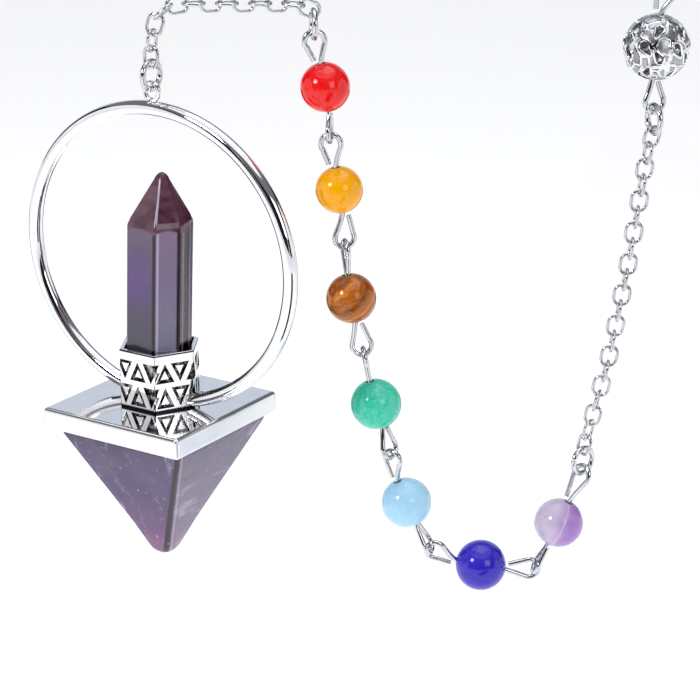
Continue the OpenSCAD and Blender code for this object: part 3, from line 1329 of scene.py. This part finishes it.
BEADS = (
    Bead("red", 20.0, -9.5, 5.8, (8, 82), Slot.RED,
         Stone("red_stone", rgb(240, 16, 22), rgb(255, 56, 46), Pattern.EVEN, 0.3, 0.3)),
    Bead("orange", 21.6, -21.7, 5.6, (-8, 15), Slot.ORANGE,
         Stone("orange_stone", rgb(255, 176, 0), rgb(255, 184, 0), Pattern.EVEN, 0.2, 0.0)),
    Bead("tiger", 23.0, -35.0, 6.0, (105, 5), Slot.TIGER,
         Stone("tiger_eye", rgb(196, 108, 28), rgb(238, 156, 58), Pattern.BANDS, 0.4, 0.0,
               rgb(54, 24, 12))),
    Bead("green", 26.0, -48.4, 6.15, (95, 50), Slot.GREEN,
         Stone("green_stone", rgb(40, 202, 168), rgb(112, 228, 202), Pattern.CLOUD, 0.45, 0.15,
               rgb(22, 172, 140))),
    Bead("sky", 29.8, -61.3, 6.15, (-40, 75), Slot.SKY,
         Stone("sky_stone", rgb(172, 222, 255), rgb(196, 234, 255), Pattern.CLOUD, 0.2, 0.2,
               rgb(160, 216, 254))),
    Bead("blue", 39.1, -69.7, 6.25, (-15, 2), Slot.BLUE,
         Stone("blue_stone", rgb(52, 38, 190), rgb(66, 52, 206), Pattern.EVEN, 0.3, 0.1)),
    Bead("violet", 48.6, -64.0, 6.0, (92, 50), Slot.VIOLET,
         Stone("violet_stone", rgb(172, 130, 206), rgb(204, 190, 216), Pattern.HALVES, 0.4, 0.2,
               rgb(120, 84, 160))),
)


def unit(v: Vector) -> Vector:
    """A vector's direction."""
    return v.normalized()


def flat(p: Sequence[float]) -> Vector:
    """A point of the strand's plane, across and up."""
    return Vector((p[0], 0, p[1]))


@dataclass
class Strand:
    """What hangs in the strand's plane: rings, beads on eye pins, chains and the ball."""

    at: Heights
    silver: bpy.types.Material
    plain: bpy.types.Material
    ring_d: float = 3.9
    ring_wire: float = RING_WIRE
    pin_wire: float = 0.65
    eye_w: float = 3.0
    bore: float = 1.0
    hook_gap: float = 0.14
    ring_gap: float = 0.1
    eye_return: tuple[float, float] = (0.06, 0.42)
    hooks: tuple[tuple[float, float], ...] = (
        (20.5, -15.5), (22.3, -28.3), (24.5, -41.7), (27.9, -54.9), (32.8, -67.4), (45.8, -70.1),
    )
    ring_left_wire: tuple[float, float] = (18.7, -0.6)
    ring_cut_mid: tuple[float, float] = (51.3, -55.8)
    ring_right_mid: tuple[float, float] = (58.1, -13.25)
    ring_turns: tuple[float, float, float] = (8, 40, 20)
    ball_mid: tuple[float, float] = (58.0, -4.8)
    ball_d: float = 7.6
    end_eye_tip: tuple[float, float] = (59.3, 3.0)

    @property
    def frame(self) -> Matrix:
        """From the strand's plane to the row frame."""
        return turn(z=STRAND_TURN)

    @property
    def ring_r(self) -> float:
        """A jump ring's radius to the middle of its wire."""
        return (self.ring_d - self.ring_wire) / 2

    @property
    def over_ring(self) -> float:
        """How far an eye's middle line runs past a ring's."""
        return (self.pin_wire + self.ring_wire) / 2 + self.ring_gap

    def ring(self, name: str, middle: Vector, facing: Matrix, cut_angle: float = 0) -> None:
        """Makes a jump ring.

        Args:
            name: its CAD node.
            middle: its middle, in the row frame.
            facing: its axes; the opening looks along their Z.
            cut_angle: how wide the cut is where it was closed by hand, in degrees; 0 for none.
        """
        count = 72
        if cut_angle:
            start, span = math.radians(cut_angle / 2), math.radians(360 - cut_angle)
            angles = [start + span * i / count for i in range(count + 1)]
        else:
            angles = [math.tau * i / count for i in range(count)]
        path = [polar(a) * self.ring_r for a in angles]
        skin = Skin().wire(path, self.ring_wire, 18, not cut_angle).place(facing)
        skin.points = [v + middle for v in skin.points]
        hand_over(skin.piece(f"jump_{name}", self.plain), Body.CHAIN, Slot.SILVER, name)

    def rings(self) -> None:
        """Makes the four jump rings."""
        sideways = turn(y=90)
        self.ring("ring_top", Vector((0, 0, self.at.swing + self.ring_r)), sideways)
        left, low, right = self.ring_turns
        middle = flat(self.ring_left_wire) - Vector((0, 0, self.ring_r))
        self.ring("ring_left", self.frame @ middle, self.frame @ turn(z=left) @ sideways)
        self.ring("ring_cut", self.frame @ flat(self.ring_cut_mid),
                  self.frame @ turn(z=low) @ turn(x=90, y=197), 7)
        self.ring("ring_right", self.frame @ flat(self.ring_right_mid),
                  self.frame @ turn(z=right) @ sideways)

    def target(self, k: int, upper: bool) -> Vector:
        """Where an eye of a bead's pin hooks.

        Args:
            k: the bead's place in BEADS.
            upper: the upper eye's, else the lower one's.

        Returns:
            The point, in the strand's plane.
        """
        if upper:
            if k == 0:
                return flat(self.ring_left_wire) - Vector((0, 0, 2 * self.ring_r))
            return flat(self.hooks[k - 1])
        if k == len(BEADS) - 1:
            return flat(self.ring_cut_mid) - Vector((0, 0, self.ring_r))
        return flat(self.hooks[k])

    def hook_over(self, k: int) -> float:
        """How far two eyes reach past the hook between beads k and k + 1.

        Args:
            k: the first bead's place in BEADS.

        Returns:
            The reach.
        """
        hook = Vector(self.hooks[k])
        a = unit(hook - Vector((BEADS[k].across, BEADS[k].height)))
        b = unit(hook - Vector((BEADS[k + 1].across, BEADS[k + 1].height)))
        return (self.pin_wire + self.hook_gap) / (a - b).length

    def eye(self, start: Vector, heading: Vector, side: Vector, tip: float) -> list[Vector]:
        """An eye's middle line, from the shank round and back beside it.

        Args:
            start: where the shank ends.
            heading: the way the eye points.
            side: the way its loop opens out.
            tip: how far the eye's far middle line is from the start.

        Returns:
            The points, in order along the wire.
        """
        r = (self.eye_w - self.pin_wire) / 2
        c = tip - r
        b = math.asin(min(0.95, r / c))
        count = 30
        arc = [
            start + side * (r * math.cos(a)) + heading * (c + r * math.sin(a))
            for a in (-b + (math.pi + 2 * b) * i / count for i in range(count + 1))
        ]
        beside, along = self.eye_return
        return arc + [start - side * (self.pin_wire + beside) + heading * along]

    @staticmethod
    def side_of(heading: Vector, roll: float) -> Vector:
        """A direction square to a heading.

        Args:
            heading: the heading, in the strand's plane.
            roll: how far it is turned about the heading, in degrees; 0 lies in the plane.

        Returns:
            The direction.
        """
        a = math.radians(roll)
        in_plane = Vector((heading.z, 0, -heading.x))
        return in_plane * math.cos(a) + Vector((0, 1, 0)) * math.sin(a)

    def pin(
        self, name: str, node: str, middle: Vector, radius: float,
        upper: tuple[Vector, float, float], lower: tuple[Vector, float, float],
    ) -> None:
        """Makes an eye pin through a bead.

        Args:
            name: the piece's name.
            node: the CAD node that it stands for.
            middle: the bead's middle.
            radius: the bead's radius.
            upper: the upper eye's target, its reach past it and its roll.
            lower: the same for the lower eye.
        """
        axis = unit(upper[0] - lower[0])
        ends = []
        for (target, over, roll), start, sign in (
            (upper, middle + axis * radius, 1), (lower, middle - axis * radius, -1),
        ):
            heading = unit(target - start)
            side = self.side_of(heading, sign * roll)
            ends.append((start, self.eye(start, heading, side, (target - start).length + over)))
        top, low = ends
        path = [*reversed(top[1]), top[0], middle, low[0], *low[1]]
        skin = Skin().wire(soften(path), self.pin_wire, 14).place(self.frame)
        hand_over(skin.piece(name, self.plain, 50), Body.CHAIN, Slot.SILVER, node)

    def beads(self) -> None:
        """Makes the seven beads and their pins."""
        last = len(BEADS) - 1
        for k, bead in enumerate(BEADS):
            upper, lower = self.target(k, True), self.target(k, False)
            middle, radius = flat((bead.across, bead.height)), bead.diameter / 2
            over_upper = self.hook_over(k - 1) if k else self.over_ring
            over_lower = self.hook_over(k) if k < last else self.over_ring + self.ring_gap
            self.pin(
                f"eye_pin_{bead.colour}", f"pin_{bead.colour}", middle, radius,
                (upper, over_upper, bead.eye_roll[0]), (lower, over_lower, bead.eye_roll[1]),
            )
            facing = self.frame @ aim(upper - lower)
            at = self.frame @ middle
            skin = Skin().lathe(bored_ball(radius, self.bore / 2, 40), 64)
            skin.place(move(at) @ facing)
            stone = bead.stone.material(at, self.facing(upper - lower))
            piece = skin.piece(f"stone_{bead.colour}", stone)
            hand_over(piece, Body.CHAIN, bead.slot, f"bead_{bead.colour}")

    def facing(self, axis: Vector) -> Matrix:
        """Axes for a bead's pattern.

        Args:
            axis: the way of its bore, in the strand's plane.

        Returns:
            The axes: Z along the bore, Y away from the strand's front.
        """
        z = unit(self.frame.to_3x3() @ axis)
        y = self.frame.to_3x3() @ Vector((0, 1, 0))
        x = y.cross(z).normalized()
        return Matrix((x, z.cross(x), z)).transposed().to_4x4()

    def ball(self) -> None:
        """Makes the openwork ball and its pin."""
        upper = flat(self.end_eye_tip)
        lower = flat(self.ring_right_mid) + Vector((0, 0, self.ring_r))
        axis = unit(upper - lower)
        place = self.frame @ move(flat(self.ball_mid)) @ aim(axis)
        web = FiligreeSilver().material(place.translation)
        piece = Filigree(self.ball_d / 2, self.bore / 2).build(web, self.silver, place)
        hand_over(piece, Body.CHAIN, Slot.SILVER, "ball")
        self.pin("eye_pin_ball", "pin_ball", flat(self.ball_mid), self.ball_d / 2,
                 (upper, 0, -8), (lower, self.over_ring, self.ring_turns[2]))


def soften(path: Sequence[Vector], steps: int = 3) -> list[Vector]:
    """A smooth curve through the points of a path.

    Args:
        path: the points.
        steps: how many points each stretch between two of them gets.

    Returns:
        The curve's points.
    """
    out = []
    for i in range(len(path) - 1):
        p0, p1, p2 = path[max(i - 1, 0)], path[i], path[i + 1]
        p3 = path[min(i + 2, len(path) - 1)]
        reach = (p2 - p1).length
        m1 = unit(p2 - p0) * min(reach, (p1 - p0).length * 2 or reach)
        m2 = unit(p3 - p1) * min(reach, (p3 - p2).length * 2 or reach)
        for s in range(steps):
            t = s / steps
            out.append(
                p1 * (2 * t**3 - 3 * t**2 + 1) + m1 * (t**3 - 2 * t**2 + t)
                + p2 * (3 * t**2 - 2 * t**3) + m2 * (t**3 - t**2)
            )
    return out + [path[-1].copy()]


def bored_ball(radius: float, bore: float, count: int) -> list[tuple[float, float]]:
    """The outline of a ball with a bore through it, with a small round at the bore's rims.

    Args:
        radius: the ball's radius.
        bore: the bore's radius.
        count: how many steps the ball's arc has.

    Returns:
        The outline's points, each a radius and a height: the arc first, then the bore.
    """
    ease, chamfer, inside = 0.12, 0.03, 0.14
    first = math.asin((bore + ease) / radius)
    arc = [
        (radius * math.sin(a), radius * math.cos(a))
        for a in (first + (math.pi - 2 * first) * i / count for i in range(count + 1))
    ]
    z = math.sqrt(radius**2 - (bore + ease) ** 2)
    return arc + [
        (bore + chamfer, -z + chamfer), (bore, -z + inside), (bore, z - inside),
        (bore + chamfer, z - chamfer),
    ]


@dataclass
class Filigree:
    """The openwork ball: a thin shell with drop-shaped openings and raised rims round them."""

    radius: float
    bore: float
    wall: float = 0.6
    rim: float = 0.3
    rim_out: float = 0.1
    rim_sunk: float = 0.06
    around: int = 6
    arc_steps: int = 44
    drops: tuple[tuple[float, float, float, float, float], ...] = (
        (8, 0, 0.62, 0.95, 40), (-12, 30, 0.42, 0.9, 220), (42, 24, 0.45, 0.95, -20),
        (-46, 4, 0.45, 0.95, 160),
    )

    @staticmethod
    def outline(radius: float, long: float, grow: float, count: int = 22) -> list[Vector]:
        """The outline of a drop: a round end, and a small one at its tip.

        Args:
            radius: the round end's radius.
            long: how far apart the two ends' middles are.
            grow: how far outside the drop the outline runs.
            count: how many points the round end has.

        Returns:
            The outline's points.
        """
        points = []
        small = radius * 0.35
        lean = math.acos((radius - small) / long)
        for i in range(count):
            a = lean + (math.tau - 2 * lean) * i / (count - 1)
            points.append(polar(a) * (radius + grow))
        for i in range(6):
            a = -lean + 2 * lean * i / 5
            points.append(Vector((long, 0, 0)) + polar(a) * (small + grow))
        return points

    def build(
        self, web: bpy.types.Material, silver: bpy.types.Material, place: Matrix
    ) -> bpy.types.Object:
        """Makes the ball.

        Args:
            web: the shell's material.
            silver: the rims' material.
            place: the ball's middle, with its Z along the bore.

        Returns:
            The shell and its rims as one object.
        """
        steps = self.arc_steps
        outer = bored_ball(self.radius, self.bore, steps)[: steps + 1]
        inner = bored_ball(self.radius - self.wall, self.bore, steps)[: steps + 1]
        shell = Skin().lathe(outer + inner[::-1], 72).piece("filigree_ball", web)
        cutter, rims = Skin(), Skin()
        for tilt, first, r, long, lean in self.drops:
            for k in range(self.around):
                by = turn(z=360 / self.around * k + first) @ turn(y=90 - tilt) @ turn(z=lean)
                line = self.outline(r, long, 0)
                rows = [[by @ (v + Vector((0, 0, z))) for v in line]
                        for z in (0.8, self.radius + 0.6)]
                cutter.grid(rows, False)
                path = []
                for v in self.outline(r, long, self.rim_out):
                    reach = math.sqrt((self.radius - self.rim_sunk) ** 2 - v.x**2 - v.y**2)
                    path.append(by @ Vector((v.x, v.y, reach)))
                rims.wire(path, self.rim, 8, True)
        cut(shell, cutter.piece("openings", web))
        round_edges(shell, 0.05, 2, 40)
        smooth(shell.data, 45)
        join(shell, rims.piece("rims", silver))
        shell.data.transform(move(place.translation * MM) @ place.to_3x3().to_4x4())
        return shell


def join(obj: bpy.types.Object, other: bpy.types.Object) -> None:
    """Adds another object's mesh to a piece's, with its material.

    Args:
        obj: the piece.
        other: the object, which is removed.
    """
    material = other.data.materials[0]
    names = [m.name for m in obj.data.materials]
    if material.name not in names:
        obj.data.materials.append(material)
        names.append(material.name)
    for face in other.data.polygons:
        face.material_index = names.index(material.name)
    work = bmesh.new()
    work.from_mesh(obj.data)
    work.from_mesh(other.data)
    work.to_mesh(obj.data)
    work.free()
    bpy.data.objects.remove(other)


@dataclass
class LinkRig:
    """A Geometry Nodes tree that sets an oval link at each point of a mesh.

    Each point carries the link's heading, its side and its stretch as attributes.
    """

    width: float = 2.3
    length: float = 2.94
    wire: float = 0.42

    def tree(self) -> tuple[bpy.types.NodeTree, dict[str, str]]:
        """Builds the tree.

        Returns:
            The tree, and each input's identifier by its name.
        """
        tree = bpy.data.node_groups.new("chain_links", "GeometryNodeTree")
        face = tree.interface
        names = {}
        for name, kind in (("Geometry", "NodeSocketGeometry"), ("Width", "NodeSocketFloat"),
                           ("Length", "NodeSocketFloat"), ("Wire", "NodeSocketFloat"),
                           ("Material", "NodeSocketMaterial")):
            names[name] = face.new_socket(name, in_out="INPUT", socket_type=kind).identifier
        face.new_socket("Geometry", in_out="OUTPUT", socket_type="NodeSocketGeometry")
        g = Graph(tree)
        entry = tree.nodes.new("NodeGroupInput")
        given = {s.name: Sock(g, s) for s in entry.outputs if s.name}
        half = (given["Width"] - given["Wire"]) / 2
        reach = (given["Length"] - given["Wire"]) / 2 - half
        ring = g.node("GeometryNodeCurvePrimitiveCircle", None, {"Resolution": 28, "Radius": half})
        where = g.node("GeometryNodeInputPosition")
        x = g.node("ShaderNodeSeparateXYZ", None, {0: where}, out="X")
        apart = g.node("ShaderNodeCombineXYZ", None, {"X": x.maths("SIGN") * reach})
        oval = g.node("GeometryNodeSetPosition", None, {"Geometry": ring, "Offset": apart})
        section = g.node("GeometryNodeCurvePrimitiveCircle", None,
                         {"Resolution": 10, "Radius": given["Wire"] / 2})
        link = g.node("GeometryNodeCurveToMesh", None, {"Curve": oval, "Profile Curve": section})
        facing = g.node(
            "FunctionNodeAxesToRotation", {"primary_axis": "X", "secondary_axis": "Y"},
            {"Primary Axis": self.carried(g, "heading", "FLOAT_VECTOR"),
             "Secondary Axis": self.carried(g, "side", "FLOAT_VECTOR")},
        )
        size = g.node("ShaderNodeCombineXYZ", None,
                      {"X": self.carried(g, "stretch", "FLOAT"), "Y": 1.0, "Z": 1.0})
        links = g.node("GeometryNodeInstanceOnPoints", None,
                       {"Points": given["Geometry"], "Instance": link, "Rotation": facing,
                        "Scale": size})
        solid = g.node("GeometryNodeRealizeInstances", None, {"Geometry": links})
        soft = g.node("GeometryNodeSetShadeSmooth", None, {"Geometry": solid})
        done = g.node("GeometryNodeSetMaterial", None,
                      {"Geometry": soft, "Material": given["Material"]})
        g.node("NodeGroupOutput", None, {"Geometry": done})
        return tree, names

    @staticmethod
    def carried(g: Graph, name: str, kind: str) -> Sock:
        """Reads an attribute that the points carry.

        Args:
            g: the tree's graph.
            name: the attribute's name.
            kind: its data type.

        Returns:
            The attribute's output.
        """
        return g.node("GeometryNodeInputNamedAttribute", {"data_type": kind}, {"Name": name},
                      out="Attribute")


@dataclass
class Chain:
    """A cable chain along a route in the strand's plane."""

    name: str
    node: str
    route: tuple[tuple[float, float], ...]
    rolls: tuple[float, float]
    rig: LinkRig
    gap: float = 0.13
    ring_wire: float = RING_WIRE
    roll_links: int = 5

    @property
    def over(self) -> float:
        """How far a link's middle line runs past its neighbour's end."""
        return (self.rig.wire + self.gap) / 2

    @property
    def at_ring(self) -> float:
        """How much further an end link reaches to hook a ring."""
        return (self.rig.wire + self.ring_wire) / 2 + self.gap - self.over

    def along(self, route: Sequence[Vector], distance: float) -> Vector:
        """The point at a distance along a route.

        Args:
            route: the route's points.
            distance: how far along it.

        Returns:
            The point.
        """
        for a, b in zip(route, route[1:]):
            step = (b - a).length
            if distance <= step or b is route[-1]:
                return a + (b - a) * (distance / step)
            distance -= step
        return route[-1]

    def links(self) -> list[tuple[Vector, Vector, Vector, float]]:
        """Each link's middle, heading, side and stretch, in the row frame.

        Returns:
            The links, from the route's first end to its last.
        """
        route = [flat(p) for p in self.route]
        route[0] += unit(route[0] - route[1]) * self.at_ring
        route[-1] += unit(route[-1] - route[-2]) * self.at_ring
        total = sum((b - a).length for a, b in zip(route, route[1:]))
        pitch = self.rig.length - self.rig.wire - 2 * self.over
        n = math.ceil(total / pitch)
        joints = [self.along(route, total * k / n) for k in range(n + 1)]
        overs = [self.over]
        for k in range(1, n):
            d, c = unit(joints[k + 1] - joints[k]), unit(joints[k] - joints[k - 1])
            overs.append(2 * self.over / (d + c).length + self.rig.wire / 6 * (d - c).length)
        overs.append(self.over)
        out = []
        first, last = self.rolls
        frame3 = turn(z=STRAND_TURN).to_3x3()
        for k in range(n):
            d = unit(joints[k + 1] - joints[k])
            a, b = joints[k] - d * overs[k], joints[k + 1] + d * overs[k + 1]
            from_first = max(0, 1 - k / self.roll_links)
            from_last = max(0, 1 - (n - 1 - k) / self.roll_links)
            roll = first * from_first + last * from_last + 90 * (k % 2)
            stretch = (b - a).length / (self.rig.length - self.rig.wire)
            out.append((frame3 @ ((a + b) / 2), frame3 @ d,
                        frame3 @ Strand.side_of(d, roll), stretch))
        return out

    def build(self, silver: bpy.types.Material) -> None:
        """Makes the chain with the link rig and hands it over.

        Args:
            silver: its metal.
        """
        links = self.links()
        mesh = bpy.data.meshes.new(self.name)
        mesh.from_pydata([middle * MM for middle, *_ in links], [], [])
        for name, kind, values in (
            ("heading", "FLOAT_VECTOR", [v for _, h, _, _ in links for v in h]),
            ("side", "FLOAT_VECTOR", [v for _, _, s, _ in links for v in s]),
            ("stretch", "FLOAT", [s for *_, s in links]),
        ):
            layer = mesh.attributes.new(name, kind, "POINT")
            layer.data.foreach_set("value" if kind == "FLOAT" else "vector", values)
        obj = put(self.name, mesh)
        tree, names = self.rig.tree()
        modifier = obj.modifiers.new("links", "NODES")
        modifier.node_group = tree
        for name, value in (("Width", self.rig.width), ("Length", self.rig.length),
                            ("Wire", self.rig.wire)):
            modifier[names[name]] = value * MM
        modifier[names["Material"]] = silver
        settle(obj)
        tidy(obj.data)
        smooth(obj.data, 60)
        hand_over(obj, Body.CHAIN, Slot.SILVER, self.node)


@dataclass
class Studio:
    """A pale floor, soft light and the photograph's camera."""

    floor_z: float = -92
    aim_at: tuple[float, float, float] = (19.18, 12.456, -41.52)
    azimuth: float = STRAND_TURN
    elevation: float = 18.8
    distance: float = 264
    lens: float = 113.14
    cards: tuple[tuple[float, float], ...] = ((-29, 12), (96, 11), (-203, 12))
    black: Colour = (0.012, 0.012, 0.015)
    white: Colour = (1.0, 1.0, 1.0)

    @property
    def towards(self) -> Vector:
        """The way from the pendant to the camera."""
        a, e = math.radians(self.azimuth), math.radians(self.elevation)
        return Vector((math.sin(a) * math.cos(e), -math.cos(a) * math.cos(e), math.sin(e)))

    def build(self) -> None:
        """Makes the floor, the lights, the surroundings and the camera."""
        self.floor()
        for k, (angle, spread) in enumerate(self.cards):
            self.flag(f"black_card_{k}", angle, spread)
        self.surroundings()
        self.light("key", (-90, -280, 170), 90, 0.45)
        self.light("fill", (330, -120, 120), 160, 0.2)
        self.light("top", (20, 60, 300), 240, 0.25)
        self.daylight()
        self.camera()
        bpy.context.scene.view_settings.view_transform = "Standard"

    def floor(self) -> None:
        """A wide pale plane, well below the pendant."""
        p = Paint("pale_floor")
        faint = p.noise(p.place(), 0.01, 2)
        material = p.finish(
            Base_Color=p.mix(faint, rgb(250, 250, 250), rgb(254, 254, 254)), Roughness=0.9,
            Emission_Color=self.white, Emission_Strength=0.36,
        )
        h = 4000
        skin = Skin().add(
            [Vector((x * h, y * h, self.floor_z)) for x, y in ((-1, -1), (1, -1), (1, 1), (-1, 1))],
            [(0, 1, 2, 3)],
        )
        skin.piece("floor", material)

    def flag(self, name: str, angle: float, spread: float) -> None:
        """A black card on the floor that only the polished metal and stone mirror.

        Args:
            name: the card's name.
            angle: where it lies round the pendant, in degrees from +X.
            spread: half of the angle that it fills.
        """
        p = Paint(name)
        grain = p.noise(p.place(), 0.2)
        card = p.finish(Base_Color=p.mix(grain, rgb(14, 14, 16), rgb(20, 20, 22)), Roughness=1.0)
        edge = [(r, angle + a) for r, a in
                ((60, -spread), (340, -spread), (340, spread), (60, spread))]
        skin = Skin().add(
            [polar(math.radians(a), r, self.floor_z + 1) for r, a in edge], [(0, 1, 2, 3)],
        )
        obj = skin.piece(name, card)
        obj.visible_camera = obj.visible_diffuse = obj.visible_shadow = False

    def surroundings(self) -> None:
        """A white room with a few dark openings, which the polished metal mirrors."""
        world = bpy.data.worlds.new("studio")
        bpy.context.scene.world = world
        world.use_nodes = True
        g = Graph(world.node_tree)
        g.tree.nodes.clear()
        where = g.node("ShaderNodeTexCoord", None, None, out="Generated")
        up = g.along(where, Vector((0, 0, 1)))
        across = g.along(where, STRAND_ALONG)
        front = g.along(where, self.towards)
        far = g.along(where, STRAND_AWAY)
        belt = up.above(0.44, 0.48) * up.above(0.80, 0.76)
        right = across.above(0.56, 0.60) * across.above(0.90, 0.86)
        left = across.above(-0.56, -0.60) * across.above(-0.90, -0.86)
        photographer = front.above(0.80, 0.86)
        dark = belt.maths("MAXIMUM", right).maths("MAXIMUM", left)
        dark = dark.maths("MAXIMUM", photographer)
        room = g.mix(far.above(0.45, 0.7) * 0.8, self.white, rgb(196, 206, 222))
        room = g.mix(up.above(0.84, 0.96), room, rgb(206, 208, 214))
        room = g.mix(dark, room, self.black)
        seen = g.node("ShaderNodeLightPath", None, None, out="Is Camera Ray")
        back = g.node("ShaderNodeBackground", None,
                      {"Color": g.mix(seen, room, self.white), "Strength": 1.0})
        g.node("ShaderNodeOutputWorld", None, {"Surface": back})

    def light(self, name: str, at: tuple[float, float, float], size: float, power: float) -> None:
        """A square soft light that looks at the pendant.

        Args:
            name: the light's name.
            at: where it stands.
            size: how wide it is.
            power: its power in watts.
        """
        data = bpy.data.lights.new(name, "AREA")
        data.shape = "SQUARE"
        data.size = size * MM
        data.energy = power
        lamp = put(name, data)
        lamp.location = Vector(at) * MM
        lamp.rotation_euler = (Vector(self.aim_at) - Vector(at)).to_track_quat("-Z", "Y").to_euler()

    def daylight(self) -> None:
        """Even light from above, so that the floor stays pale to its far end."""
        data = bpy.data.lights.new("daylight", "SUN")
        data.angle = math.radians(120)
        data.energy = 0.4
        put("daylight", data)

    def camera(self) -> None:
        """The camera, where the photograph's was."""
        data = bpy.data.cameras.new("camera")
        data.lens = self.lens
        data.sensor_width = 36
        data.clip_start, data.clip_end = 0.01, 20
        camera = put("camera", data)
        camera.location = (Vector(self.aim_at) + self.towards * self.distance) * MM
        camera.rotation_euler = (-self.towards).to_track_quat("-Z", "Y").to_euler()
        bpy.context.scene.camera = camera


def main() -> None:
    """Builds everything in order."""
    logging.basicConfig(level=logging.INFO, format="%(name)s: %(message)s")
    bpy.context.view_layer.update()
    # dark is the painted shade for the collar's pockets and socket.
    silver, dark = Silver().material(), PocketShadeSilver().material()
    plain = Silver("wire_silver", rgb(226, 227, 230), rgb(186, 188, 194), 0.08).material()
    heights = Heights()
    Setting(heights).build(silver, dark)
    CrystalPoint(heights).build()
    Pyramid(heights).build()
    strand = Strand(heights, silver, plain)
    strand.rings()
    strand.beads()
    strand.ball()
    rig = LinkRig()
    ring_top_wire = (0.0, heights.swing + 2 * strand.ring_r)
    ring_cut_high = (strand.ring_cut_mid[0], strand.ring_cut_mid[1] + strand.ring_r)
    ring_right_low = (strand.ring_right_mid[0], strand.ring_right_mid[1] - strand.ring_r)
    Chain("links_left", "chain_left",
          (ring_top_wire, (0.1, -4.9), (0.3, -3.0), (0.9, -1.3), (2.0, -0.2), (3.6, 0.2),
           (15.8, 0.2), (17.4, 0.0), strand.ring_left_wire), (-33, 8), rig).build(plain)
    Chain("links_right", "chain_right",
          (ring_cut_high, (53.9, -43.0), (55.8, -31.0), (57.6, -16.6), ring_right_low),
          (-50, strand.ring_turns[2]), rig).build(plain)
    Studio().build()
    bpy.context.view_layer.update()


if __name__ == "__main__":
    main()
